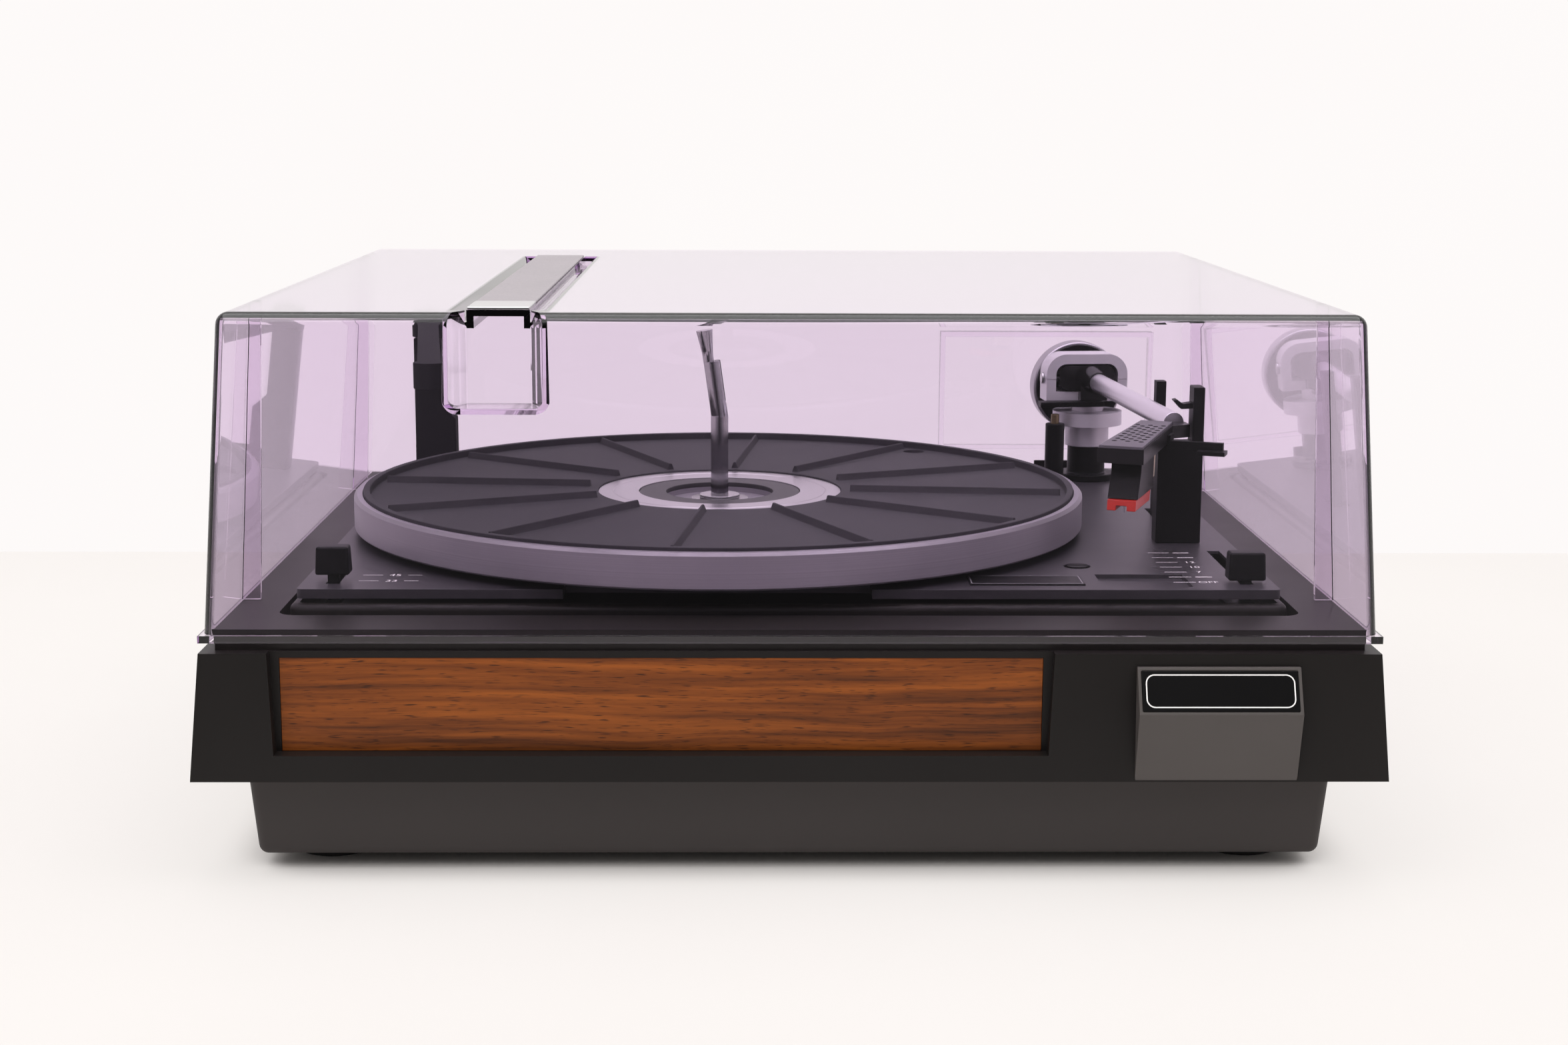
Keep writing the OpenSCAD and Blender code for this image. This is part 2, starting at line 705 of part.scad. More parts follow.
// Platter bearing
bearing_flange_t = 2;
bearing_low = 12;
race_z = plate_z + bearing_flange_t;
washer_t = 0.8;
ball_r = 0.7;
race_r0 = bearing_r + loose_fit;
race_w = 6;
race_r1 = bearing_r + race_w;
flange_out = 2;
flange_r = race_r1 + flange_out;
race_gap = 0.02;
race_top = race_z + 2 * washer_t + 2 * (ball_r + race_gap);
cage_t = 0.8;
cage_in = 1;
balls = 10;
hub_gap = 0.2;
hub_z = race_top + hub_gap;
hub_sink = 2;
hub_top = web_top - hub_sink;
clip_t = 1;
clip_z = hub_top + loose_fit;
clip_sink = 1;
clip_play = 0.1;
clip_out = 3.4;
clip_mouth = 2;
bearing_end = 1.4;
bearing_top = clip_z + clip_t + bearing_end;

module bearing_tube() {
    low = plate_z - bearing_low;
    color("silver") from_front() translate([platter_x, platter_y, 0]) difference() {
        union() {
            translate([0, 0, plate_z]) cylinder(h = bearing_flange_t, r = flange_r);
            translate([0, 0, low]) cylinder(h = bearing_top - low, r = bearing_r);
        }
        translate([0, 0, low - cut]) cylinder(h = bearing_top - low + 2 * cut, r = spindle_r + run_fit);
        translate([0, 0, clip_z - clip_play]) difference() {
            cylinder(h = clip_t + 2 * clip_play, r = bearing_r + cut);
            cylinder(h = clip_t + 2 * clip_play, r = bearing_r - clip_sink);
        }
    }
}

module washer(z) {
    translate([0, 0, z]) difference() {
        cylinder(h = washer_t, r = race_r1);
        translate([0, 0, -cut]) cylinder(h = washer_t + 2 * cut, r = race_r0);
    }
}

module thrust_race() {
    ball_z = race_z + washer_t + race_gap + ball_r;
    ball_ring = (race_r0 + race_r1) / 2;
    color("gainsboro") from_front() translate([platter_x, platter_y, 0]) {
        washer(race_z);
        washer(race_top - washer_t);
        difference() {
            translate([0, 0, ball_z - cage_t / 2]) cylinder(h = cage_t, r = race_r1 - cage_in);
            translate([0, 0, ball_z - cut]) cylinder(h = 2 * cut, r = race_r0 + cage_in);
        }
        for (i = [0:balls - 1]) rotate([0, 0, 360 * i / balls])
            translate([ball_ring, 0, ball_z]) sphere(ball_r, $fn = 24);
    }
}

module retaining_clip() {
    color("gainsboro") from_front() translate([platter_x, platter_y, clip_z]) difference() {
        cylinder(h = clip_t, r = bearing_r + clip_out);
        translate([0, 0, -cut]) cylinder(h = clip_t + 2 * cut, r = bearing_r - clip_sink + run_fit);
        translate([-bearing_r + clip_mouth, 0, -cut])
            cube([2 * (bearing_r - clip_mouth), bearing_r + clip_out + cut, clip_t + 2 * cut]);
    }
}

// Outline of a gear, four corners to a tooth
function gear_points(teeth, root, tip) = [for (i = [0:4 * teeth - 1])
    let (r = i % 4 == 1 || i % 4 == 2 ? tip : root, a = 360 * (i + 0.5) / (4 * teeth))
        [r * cos(a), r * sin(a)]];

// Platter, turned from its outline of radius and height
platter_r = platter_dia / 2;
drum_r = drum_dia / 2;
rim_t = 4.4;
drum_t = 3;
lip_t = 3.3;
rim_chamfer = 1.2;
rim_edge = 0.7;
hub_r = 15;
hub_teeth = 34;
well_r = well_dia / 2;

module platter() {
    color("#9a989c") from_front() translate([platter_x, platter_y, 0]) {
        rotate_extrude($fn = 128) polygon([[bearing_r + run_fit, hub_z], [hub_r, hub_z], [hub_r, web_under],
            [drum_r - drum_t, web_under], [drum_r - drum_t, rim_z], [drum_r, rim_z], [drum_r, web_under],
            [platter_r - rim_t, web_under], [platter_r - rim_t, rim_z], [platter_r - rim_edge, rim_z],
            [platter_r, rim_z + rim_edge], [platter_r, rim_top - rim_chamfer],
            [platter_r - rim_chamfer, rim_top],
            [platter_r - lip_t, rim_top], [platter_r - lip_t, web_top], [well_r, web_top], [well_r, hub_top],
            [bearing_r + run_fit, hub_top]]);
        translate([0, 0, hub_z + hub_gap]) linear_extrude(web_under - hub_z - hub_gap + cut) difference() {
            polygon(gear_points(hub_teeth, hub_r + hub_gap, pinion_r));
            circle(hub_r - cut);
        }
    }
}

// Mat: a floor with a raised edge and radial ribs, and a hole that shows the metal
mat_r = platter_r - lip_t - loose_fit;
mat_edge_w = 2.6;
trim_r = trim_dia / 2;
trim_fit = 0.2;
rib_in = 4;
rib_out = 5;
rib_start = trim_r + rib_in;
rib_end = mat_r - rib_out;
rib_sink = 0.2;
rib_top_w = rib_w / 3;
rib_turn = 23.7;
mat_hole_r = 4.6;
mat_hole_at = 132;
mat_hole_turn = 50;

module platter_mat() {
    inner = trim_r + trim_fit;
    rib_z = record_z - rib_sink;
    color("#3b393e") from_front() translate([platter_x, platter_y, 0]) difference() {
        union() {
            rotate_extrude($fn = 128) polygon([[inner, web_top], [mat_r, web_top], [mat_r, record_z],
                [mat_r - mat_edge_w, record_z], [mat_r - mat_edge_w, mat_z], [inner, mat_z]]);
            for (i = [0:mat_ribs - 1]) rotate([0, 0, rib_turn + 360 * i / mat_ribs])
                along_x(rib_start, rib_end)
                polygon([[-rib_w / 2, mat_z - cut], [rib_w / 2, mat_z - cut], [rib_w / 2, mat_z],
                    [rib_top_w / 2, rib_z], [-rib_top_w / 2, rib_z], [-rib_w / 2, mat_z]]);
        }
        rotate([0, 0, mat_hole_turn]) translate([mat_hole_at, 0, web_top - cut])
            cylinder(h = record_z - web_top + 2 * cut, r = mat_hole_r);
    }
}

hub_ring_r = hub_ring_dia / 2;
trim_t = 2.2;
ring_sink = 0.3;
scribe_r = 42;
scribe_w = 0.5;
scribe_depth = 0.3;

// Bright ring with a circle scribed into its top
module trim_ring() {
    color("gainsboro") from_front() translate([platter_x, platter_y, web_top]) difference() {
        cylinder(h = trim_t, r = trim_r);
        translate([0, 0, -cut]) cylinder(h = trim_t + 2 * cut, r = hub_ring_r + trim_fit);
        translate([0, 0, trim_t - scribe_depth]) difference() {
            cylinder(h = cut, r = scribe_r + scribe_w);
            translate([0, 0, -cut]) cylinder(h = 3 * cut, r = scribe_r);
        }
    }
}

module hub_ring() {
    color("#3b393e") from_front() translate([platter_x, platter_y, web_top]) difference() {
        cylinder(h = trim_t - ring_sink, r = hub_ring_r);
        translate([0, 0, -cut]) cylinder(h = trim_t + 2 * cut, r = well_r);
    }
}

// Motor, pulley and belt
belt_fit = 0.1;
belt_gap = 0.5;
belt_z = web_under - belt_gap - belt_w;
speed_ratio = 1.35;
pulley_r = pulley_dia / 2;
pulley_gap = 0.8;
pulley_flange_t = 0.8;
pulley_flange_out = 1.2;
pulley_end = 1;
shaft_in = 6;
bracket_t = 1.6;
bracket_drop = 9;
bracket_z = plate_under - bracket_drop;
lug_out = 5;
lug_reach = motor_dia / 2 + lug_out;
lug_r = 6;
grommet_r = 4.5;
lug_turns = [30, 150, 270];

// Closed run of the belt round the drum and the pulley, further out by g
module belt_loop(g) {
    r1 = drum_r + belt_fit + g;
    r2 = pulley_r + belt_fit + g;
    span = norm([motor_x, motor_y]);
    b = acos((r1 - r2) / span);
    steps = 60;
    polygon(concat(
        [for (i = [0:steps]) let (a = b + (360 - 2 * b) * i / steps) r1 * [cos(a), sin(a)]],
        [for (i = [0:steps]) let (a = -b + 2 * b * i / steps) [span + r2 * cos(a), r2 * sin(a)]]));
}

module drive_belt() {
    color("#111111") from_front() translate([platter_x, platter_y, belt_z])
        rotate([0, 0, atan2(motor_y, -motor_x)]) linear_extrude(belt_w) difference() {
            belt_loop(belt_t);
            belt_loop(0);
        }
}

module motor_pulley() {
    step = belt_z - loose_fit;
    low = bracket_z - motor_h + shaft_in;
    wide_r = pulley_r * speed_ratio;
    color("#b99a5b") from_front() translate([motor_spot.x, motor_spot.y, 0]) {
        translate([0, 0, low]) cylinder(h = web_under - pulley_end - low, r = shaft_r);
        translate([0, 0, plate_z + pulley_gap]) cylinder(h = pulley_flange_t, r = wide_r + pulley_flange_out);
        translate([0, 0, plate_z + pulley_gap]) cylinder(h = step - plate_z - pulley_gap, r = wide_r);
        translate([0, 0, step - cut]) cylinder(h = web_under - loose_fit - step + cut, r = pulley_r);
    }
}

module motor_body() {
    color("#6d6f73") from_front() translate([motor_spot.x, motor_spot.y, 0]) difference() {
        union() {
            translate([0, 0, bracket_z - motor_h]) cylinder(h = motor_h, r = motor_dia / 2);
            translate([0, 0, bracket_z]) cylinder(h = bracket_t, r = motor_dia / 2);
            for (a = lug_turns) rotate([0, 0, a]) {
                translate([lug_reach, 0, bracket_z]) cylinder(h = bracket_t, r = lug_r);
                translate([0, -lug_r, bracket_z]) cube([lug_reach, 2 * lug_r, bracket_t]);
            }
        }
        translate([0, 0, bracket_z - motor_h + shaft_in - cut]) cylinder(h = motor_h, r = shaft_r + run_fit);
    }
}

module motor_grommets() {
    color("#141414") from_front() for (a = lug_turns)
        translate([motor_spot.x, motor_spot.y, 0]) rotate([0, 0, a])
            translate([lug_reach, 0, bracket_z + bracket_t])
                cylinder(h = plate_under - bracket_z - bracket_t, r = grommet_r);
}

// Cycle gear on its stud, dished from above
cycle_gap = 1.2;
cycle_h = web_under - plate_z - cycle_gap - 2 * loose_fit;
cycle_hub_r = 7;
cycle_hub_rise = 1.2;
tooth_h = 1.4;
dish_z = 4.4;
dish_wall = 4;
dish_r = 10;

module cycle_gear() {
    root = cycle_dia / 2 - tooth_h;
    color("#d8d2c0") from_front() translate([cycle_spot.x, cycle_spot.y, plate_z + cycle_gap]) difference() {
        union() {
            linear_extrude(cycle_h - cycle_hub_rise) polygon(gear_points(cycle_teeth, root, cycle_dia / 2));
            cylinder(h = cycle_h, r = cycle_hub_r);
        }
        translate([0, 0, -cut]) cylinder(h = cycle_h + 2 * cut, r = stud_r + run_fit);
        translate([0, 0, dish_z]) difference() {
            cylinder(h = cycle_h, r = root - dish_wall);
            cylinder(h = cycle_h, r = dish_r);
        }
    }
}

// Changer spindle: straight, then leaning, with a shelf, a neck and a flared cap
bend_z = plate_z + bend_h;
pusher_low = 6;
pusher_t = 1.95;
pusher_w = 2.4;
spindle_low = 16;
lean_step = 0.12;
lean_r = spindle_r - lean_step;
bend_fit = 0.13;
pusher_sink = 0.1;
pusher_x = lean_r - pusher_sink - pusher_t;
slot_fit = 0.25;
neck_r = 2.15;
neck_h = 3;
neck_x = -1.3;
cap_r = 3.3;

module leaning() {
    translate([platter_x, platter_y, bend_z]) rotate([0, -lean_angle, 0]) children();
}

module changer_spindle() {
    low = plate_z - spindle_low;
    root = lean_r * tan(lean_angle) + bend_fit;
    color("gainsboro") from_front() {
        translate([platter_x, platter_y, low]) cylinder(h = bend_z - low, r = spindle_r);
        leaning() {
            difference() {
                translate([0, 0, -root]) cylinder(h = lean_len + root, r = lean_r);
                translate([pusher_x, -pusher_w / 2, pusher_low - pusher_t / 2] - slot_fit * [1, 1, 1])
                    cube([spindle_r, pusher_w + 2 * slot_fit, lean_len]);
            }
            translate([neck_x, 0, lean_len - cut]) cylinder(h = neck_h + cut, r = neck_r);
            translate([neck_x, 0, lean_len + neck_h]) cylinder(h = cap_h, r1 = neck_r, r2 = cap_r);
        }
    }
}

module spindle_pusher() {
    color("#2c2b30") from_front() leaning() translate([pusher_x, -pusher_w / 2, pusher_low]) {
        cube([pusher_t, pusher_w, lean_len - pusher_low]);
        translate([pusher_t / 2, 0, 0]) rotate([-90, 0, 0]) cylinder(h = pusher_w, r = pusher_t / 2);
    }
}

// Overarm on its post
post_hw = 6;
post_d = 10;
post_foot_h = 27;
post_shoulder_h = 6;
post_foot_w = 18;
post_pin_r = 3;
post_pin_h = 10;
post_top = plate_z + post_h;
overarm_turn = 7.75;
overarm_w = 9;
overarm_t = 4.5;
overarm_rise = 1.5;
overarm_hub_r = 7;
overarm_hub_h = 8;
overarm_foot_r = 6;
overarm_foot_h = 10;
overarm_foot_drop = 4;

module overarm_post() {
    color("#1d1c20") from_front() translate([post_x, post_y, plate_z]) {
        along_y(-post_d / 2, post_d / 2) polygon([[-post_hw, 0], [post_foot_w - post_hw, 0],
            [post_foot_w - post_hw, post_foot_h], [post_hw, post_foot_h + post_shoulder_h],
            [post_hw, post_h], [-post_hw, post_h]]);
        translate([0, 0, post_h - cut]) cylinder(h = post_pin_h, r = post_pin_r);
    }
}

module overarm() {
    color("#1d1c20") from_front() translate([post_x, post_y, post_top + loose_fit])
        rotate([0, 0, overarm_turn]) difference() {
            union() {
                cylinder(h = overarm_hub_h, r = overarm_hub_r);
                translate([-overarm_w / 2, -overarm_len, overarm_rise])
                    cube([overarm_w, overarm_len, overarm_t]);
                translate([0, -overarm_len, -overarm_foot_drop])
                    cylinder(h = overarm_foot_h, r = overarm_foot_r);
            }
            translate([0, 0, -cut]) cylinder(h = post_pin_h + cut, r = post_pin_r + run_fit);
        }
}

// Tonearm: measured from its pivot, forwards along -Y, heights from the arm's axis
yoke_shift = -2;
yoke_top = 11.2;
yoke_low = yoke_top - yoke_h;
yoke_r = 9;
socket_d = 16;
socket_gap = 0.7;
collar_r = 15.4;
yoke_neck_r = 7;
seam_w = 0.4;
collar_h = 6;
pillar_pin_in = 4;
lap = 0.1;
collar_z = -20.7;
neck_low = collar_z + collar_h;
pillar_r = pillar_dia / 2;
pillar_z = plate_z + 15.3;
pillar_pin_r = 3;
tube_r = tube_dia / 2;
cone_len = 13;
cone_out = 2.2;
cone_end = 0.6;
tube_start = socket_d / 2 + cone_len;
rod_r = 3;
pivot_r = 1.5;
pivot_bite = 2.4;
pivot_head_t = 1.2;
pivot_head_out = 1;
weight_r = weight_dia / 2;
weight_drop = 6.6;
weight_start = 20;
weight_cap_t = 1.4;
weight_cap_in = 1.2;
weight_travel = 7;
chin_low = -9;
chin_hw = 6;
chin_y = 12.5;
lift_t = 2.3;
lift_low = chin_low - lift_t;
neck_side = tube_r + loose_fit;
neck_len = 8;
neck_lap = [0.5, 4];
neck_top = 0.4;
neck_under = -4.5;
head_side = -8.2;
head_set = 5.8;
head_back = tube_reach + head_set;
head_top = 1.6;
head_turn = head_angle + arm_angle;
grille_t = 1;
shell_t = 1.5;
roof_z = -grille_t - shell_t;
grille_in = 0.5;
bay_start = 12;
nose_t = 2;

// Point of the arm's own plan, in the deck's plan
function arm_point(x, y) = [pivot_x + x * cos(arm_angle) - y * sin(arm_angle),
    pivot_y + x * sin(arm_angle) + y * cos(arm_angle)];
// Point of the headshell's plan, in the arm's plan, s measured forwards from its back
function head_point(x, s) = [head_side + x * cos(head_turn) - s * sin(head_turn),
    -head_back - x * sin(head_turn) - s * cos(head_turn)];
// Half width of the headshell at a distance from its back
function head_hw(s) = (head_w_back + (head_w - head_w_back) * s / head_len) / 2;

module at_arm() {
    translate([pivot_x, pivot_y, arm_z]) rotate([0, 0, arm_angle]) children();
}

module at_head() {
    at_arm() translate([head_side, -head_back, head_top]) rotate([0, 0, -head_turn])
        rotate([head_dip, 0, 0]) children();
}

// Plan of the headshell between two distances from its back, narrower by the inset
module head_plan(s0, s1, inset) {
    polygon([[-head_hw(s0) + inset, -s0], [head_hw(s0) - inset, -s0],
        [head_hw(s1) - inset, -s1], [-head_hw(s1) + inset, -s1]]);
}

// Side outline of a piece under the headshell, from s and z, across a half width
module under_head(hw, outline) {
    along_x(-hw, hw) polygon([for (p = outline) [-p.x, p.y]]);
}

arm_base_t = 3;
arm_base_out = 3.4;
arm_base_neck = 1.4;

module arm_base() {
    color("#1b1a1d") from_front() translate([pivot_x, pivot_y, plate_z]) {
        cylinder(h = arm_base_t, r = pillar_r + arm_base_out);
        cylinder(h = pillar_z - plate_z, r = pillar_r - arm_base_neck);
    }
}

module arm_pillar() {
    top = arm_z + collar_z - loose_fit;
    color("#b8b6bb") from_front() translate([pivot_x, pivot_y, 0]) {
        translate([0, 0, pillar_z]) cylinder(h = top - pillar_z, r = pillar_r);
        translate([0, 0, top - cut]) cylinder(h = collar_h + pillar_pin_in, r = pillar_pin_r);
    }
}

// Rectangle from a corner, with its two upper corners round
module arch(w, h, r) {
    square([w, h - r]);
    translate([r, 0]) square([w - 2 * r, h]);
    for (x = [r, w - r]) translate([x, h - r]) circle(r);
}

// Yoke: an arch with a parting line across its legs, on a collar that turns on the pillar
module arm_yoke() {
    color("#b8b6bb") from_front() at_arm() difference() {
        union() {
            translate([0, 0, collar_z]) cylinder(h = collar_h, r = collar_r);
            translate([0, 0, neck_low - cut]) cylinder(h = yoke_low - neck_low + 2 * cut, r = yoke_neck_r);
            along_y(-yoke_d / 2, yoke_d / 2) translate([yoke_shift - yoke_w / 2, yoke_low]) difference() {
                arch(yoke_w, yoke_h, yoke_r);
                translate([yoke_band, yoke_band])
                    arch(yoke_w - 2 * yoke_band, yoke_h - 2 * yoke_band, yoke_r - yoke_band);
            }
        }
        translate([yoke_shift - yoke_w, -yoke_d / 2 - cut, -seam_w / 2])
            cube([2 * yoke_w, cut + seam_w, seam_w]);
        translate([0, 0, collar_z - cut])
            cylinder(h = collar_h + pillar_pin_in + cut, r = pillar_pin_r + run_fit);
        translate([yoke_shift - yoke_w, 0, 0]) rotate([0, 90, 0])
            cylinder(h = 2 * yoke_w, r = pivot_r + run_fit);
    }
}

socket_play = 1.5;
socket_hw = yoke_w / 2 - yoke_band - socket_play;

module pivot_screws() {
    start = socket_hw - pivot_bite;
    color("silver") from_front() at_arm() translate([yoke_shift, 0, 0])
        for (s = [0, 180]) rotate([0, 90, s]) {
            translate([0, 0, start]) cylinder(h = yoke_w / 2 + pivot_head_t / 2 - start, r = pivot_r);
            translate([0, 0, yoke_w / 2]) cylinder(h = pivot_head_t, r = pivot_r + pivot_head_out);
        }
}

module arm_socket() {
    low = yoke_low + yoke_band + socket_gap;
    high = yoke_top - yoke_band - socket_gap;
    color("#17161a") from_front() at_arm() difference() {
        union() {
            along_y(-socket_d / 2, socket_d / 2) translate([yoke_shift - socket_hw, low])
                round_rect(2 * socket_hw, high - low, yoke_r - yoke_band - socket_gap);
            translate([-chin_hw, -chin_y, chin_low])
                cube([2 * chin_hw, chin_y - socket_d / 2 + lap, -chin_low]);
            translate([0, -socket_d / 2 + lap, 0]) rotate([90, 0, 0])
                cylinder(h = cone_len + lap, r1 = tube_r + cone_out, r2 = tube_r + cone_end);
            translate([0, socket_d / 2 - lap, 0]) rotate([-90, 0, 0])
                cylinder(h = weight_start + weight_len + weight_travel - socket_d / 2, r = rod_r);
        }
        for (s = [0, 180]) translate([yoke_shift, 0, 0]) rotate([0, 90, s])
            translate([0, 0, socket_hw - pivot_bite - 2 * lap])
                cylinder(h = 2 * pivot_bite + cut, r = pivot_r + run_fit);
    }
}

module arm_tube() {
    color("#c9c7cc") from_front() at_arm() translate([0, -tube_start, 0]) rotate([90, 0, 0])
        cylinder(h = tube_reach - tube_start, r = tube_r);
}

module weight_slice(y0, length, r) {
    translate([0, y0, 0]) rotate([-90, 0, 0]) difference() {
        translate([0, weight_drop, 0]) cylinder(h = length, r = r);
        translate([0, 0, -cut]) cylinder(h = length + 2 * cut, r = rod_r + run_fit);
    }
}

module counterweight() {
    color("#b3b1b6") from_front() at_arm() weight_slice(weight_start, weight_len, weight_r);
}

module counterweight_cap() {
    color("#17161a") from_front() at_arm()
        weight_slice(weight_start - weight_cap_t, weight_cap_t, weight_r - weight_cap_in);
}

module headshell() {
    color("#1a191c") from_front() {
        at_head() difference() {
            translate([0, 0, -head_h]) linear_extrude(head_h - grille_t) head_plan(0, head_len, 0);
            translate([0, 0, -head_h - cut]) linear_extrude(head_h + cut + roof_z)
                head_plan(bay_start, head_len - nose_t, shell_t);
        }
        at_arm() translate([0, 0, neck_under]) linear_extrude(neck_top - neck_under)
            polygon([[-neck_side, -tube_reach], head_point(-head_hw(0), neck_lap[0]),
                head_point(head_hw(0) - loose_fit, neck_lap[1]), [neck_side, -tube_reach - neck_len],
                [neck_side, -tube_reach]]);
    }
}

module headshell_grille() {
    color("#77747a") from_front() at_head() translate([0, 0, -grille_t]) linear_extrude(grille_t)
        head_plan(0, head_len, grille_in);
}

// Finger lift: a root on the shell's side, an arm and a pad
lift_at = 12;
lift_gap = 0.15;
lift_root = [1.2, 6, 3.4];
lift_arm = [21, 2, 3];
lift_arm_z = -8;
lift_pad = [10.5, 6, 1.6];
lift_pad_x = 12;
lift_pad_z = -9.4;

module finger_lift() {
    x = head_hw(lift_at);
    color("#1a191c") from_front() at_head() translate([x, -lift_at, 0]) {
        translate([lift_gap, -lift_arm.y, -head_h + lap]) cube(lift_root);
        translate([lift_gap, -lift_arm.y, lift_arm_z]) cube(lift_arm);
        translate([lift_pad_x, -lift_pad.y, lift_pad_z]) cube(lift_pad);
    }
}

// Cartridge: half widths, and outlines of distance from the headshell's back and height under its top
bracket_hw = 4.9;
bracket_sheet_t = 1.7;
bracket_top = roof_z - lap;
bracket_under = bracket_top - bracket_sheet_t;
bracket_sheet = [[22, bracket_top], [46, bracket_top], [46, bracket_under], [22, bracket_under]];
bracket_leg = [[23, bracket_top - 1.4], [28, bracket_top - 1.4], [28.5, -17], [25, -17]];
cartridge_hw = 5.6;
cartridge_top = bracket_under - lap;
cartridge_outline = [[29, cartridge_top], [50, cartridge_top], [51, -11], [56, -20.4], [30, -20.4]];
holder_hw = 5.3;
holder_outline = [[33, -20.5], [57.3, -20.5], [58, -24.4], [34.5, -24.4]];
holder_slot_hw = 2;
holder_slot = [[47, -22.6], [60, -22.6], [60, -26], [47, -26]];
cantilever_at = [0, -47, -23.3];
cantilever_len = 5.6;
cantilever_r = 0.4;
cantilever_dip = 8;
tip_at = [0, -52.2, -26];
tip_h = 2;
tip_r = [0.12, 0.35];

module cartridge_bracket() {
    color("#d9cdb8") from_front() at_head() {
        under_head(bracket_hw, bracket_sheet);
        under_head(bracket_hw, bracket_leg);
    }
}

module cartridge_body() {
    color("#0f0e10") from_front() at_head() under_head(cartridge_hw, cartridge_outline);
}

module stylus_holder() {
    color("#c1271d") from_front() at_head() difference() {
        under_head(holder_hw, holder_outline);
        under_head(holder_slot_hw, holder_slot);
    }
}

module stylus_tip() {
    color("gainsboro") from_front() at_head() {
        translate(cantilever_at) rotate([90 + cantilever_dip, 0, 0])
            cylinder(h = cantilever_len, r = cantilever_r, $fn = 16);
        translate(tip_at) cylinder(h = tip_h, r1 = tip_r[0], r2 = tip_r[1], $fn = 16);
    }
}

lift_spot = [-24.5, -16];
lift_size = [28.5, 6.5];

module lift_plate() {
    color("#17161a") from_front() at_arm() translate([lift_spot.x, lift_spot.y, lift_low])
        cube([lift_size.x, lift_size.y, lift_t]);
}

// Arm rest, clip and cueing
rest_gap = 1.35;
rest_top = arm_z + head_top - head_h - rest_gap;
upright_w = 4.4;
upright_gap = 0.6;
upright_x = arm_point(neck_side, -tube_reach - neck_len).x + upright_gap;
rest_y = pivot_y - tube_reach - rest_d;
hook_rise = 6.4;
hook_y = [1, 6];
hook_outline = [[0, 0.2], [-4.5, 0], [-7.6, 3.4], [-6.2, 3.8], [-3.8, 2], [0, 2.6]];
cue_spot = arm_point(-17.3, -12.8);
cue_travel = 3;
cue_pin_low = 6;
cue_lever_in = 17;
cue_lever_fore = 90;
cue_lever_spot = [plate_w / 2 - cue_lever_in, pivot_y - cue_lever_fore];
cue_slot = [6.4, 20];
cue_blade = [4, 6];
cue_blade_end = 2.5;
cue_pivot_drop = 4;
cue_pivot_z = plate_under - cue_pivot_drop;
cue_pivot_r = 1.5;
cue_pivot_len = 12;
cue_ear = [2, 8];
cue_ear_x = 4.2;

module arm_rest() {
    color("#1a191c") from_front() {
        translate([upright_x + upright_w - rest_w, rest_y, plate_z])
            cube([rest_w, rest_d, rest_top - plate_z]);
        translate([upright_x, rest_y, plate_z]) cube([upright_w, rest_d, rest_h]);
    }
}

module arm_clip() {
    color("#1a191c") from_front() translate([upright_x, rest_y, arm_z + hook_rise])
        along_y(hook_y[0], hook_y[1]) polygon(hook_outline);
}

module cue_post() {
    color("#17161a") from_front() translate([cue_spot.x, cue_spot.y, plate_z]) difference() {
        cylinder(h = cue_h, r = cue_dia / 2);
        translate([0, 0, -cut]) cylinder(h = cue_h + 2 * cut, r = pin_dia / 2 + run_fit);
    }
}

module cue_pin() {
    low = plate_under - cue_pin_low;
    color("#a98a5c") from_front() translate([cue_spot.x, cue_spot.y, low])
        cylinder(h = arm_z + lift_low - cue_travel - loose_fit - low, r = pin_dia / 2);
}

module cue_lever() {
    color("#17161a") from_front() translate([cue_lever_spot.x, cue_lever_spot.y, cue_pivot_z]) {
        translate([-cue_blade.x / 2, -cue_blade.y / 2, -cue_blade_end])
            cube([cue_blade.x, cue_blade.y, cue_lever_h + plate_z - cue_pivot_z + cue_blade_end]);
        translate([-cue_pivot_len / 2, 0, 0]) rotate([0, 90, 0]) cylinder(h = cue_pivot_len, r = cue_pivot_r);
    }
}

// Ears under the deck plate that carry the cue lever's pin
module cue_ears() {
    half = cue_ear / 2;
    translate([cue_lever_spot.x, cue_lever_spot.y, cue_pivot_z])
        for (s = [-1, 1]) translate([s * cue_ear_x - half.x, -half.y, -half.y])
            difference() {
                cube([cue_ear.x, cue_ear.y, plate_under - cue_pivot_z + half.y]);
                translate([-cut, half.y, half.y]) rotate([0, 90, 0])
                    cylinder(h = cue_ear.x + 2 * cut, r = cue_pivot_r + run_fit);
            }
}

// Levers and their knobs
bar_t = 1.5;
bar_drop = 6.5;
bar_z = plate_under - bar_drop;
bar_fore = 6;
speed_bar = [5, 100];
program_bar = [10.5, 36];
program_bar_x = -8;
knob_d = 8;
knob_lean = [0.4, 0.6];
speed_knob_gap = 3;
program_knob_gap = 1.2;

module lever(x, y, gap, bar_x, bar) {
    translate([x - stem_w / 2, y - stem_d / 2, bar_z]) cube([stem_w, stem_d, plate_z + gap - bar_z]);
    translate([x + bar_x, y - bar_fore, bar_z]) cube([bar.x, bar.y, bar_t]);
}

module knob(x, y, gap, w) {
    translate([x, y - knob_d / 2, plate_z + gap]) lean_block(w, knob_d, knob_h, knob_lean.x, knob_lean.y);
}

module speed_lever() {
    color("#8b8b8f") from_front() lever(speed_x, speed_y, speed_knob_gap, -speed_bar.x / 2, speed_bar);
}

module speed_knob() {
    color("#131215") from_front() knob(speed_x, speed_y, speed_knob_gap, speed_knob_w);
}

module program_lever() {
    color("#8b8b8f") from_front() lever(program_x, program_y, program_knob_gap, program_bar_x, program_bar);
}

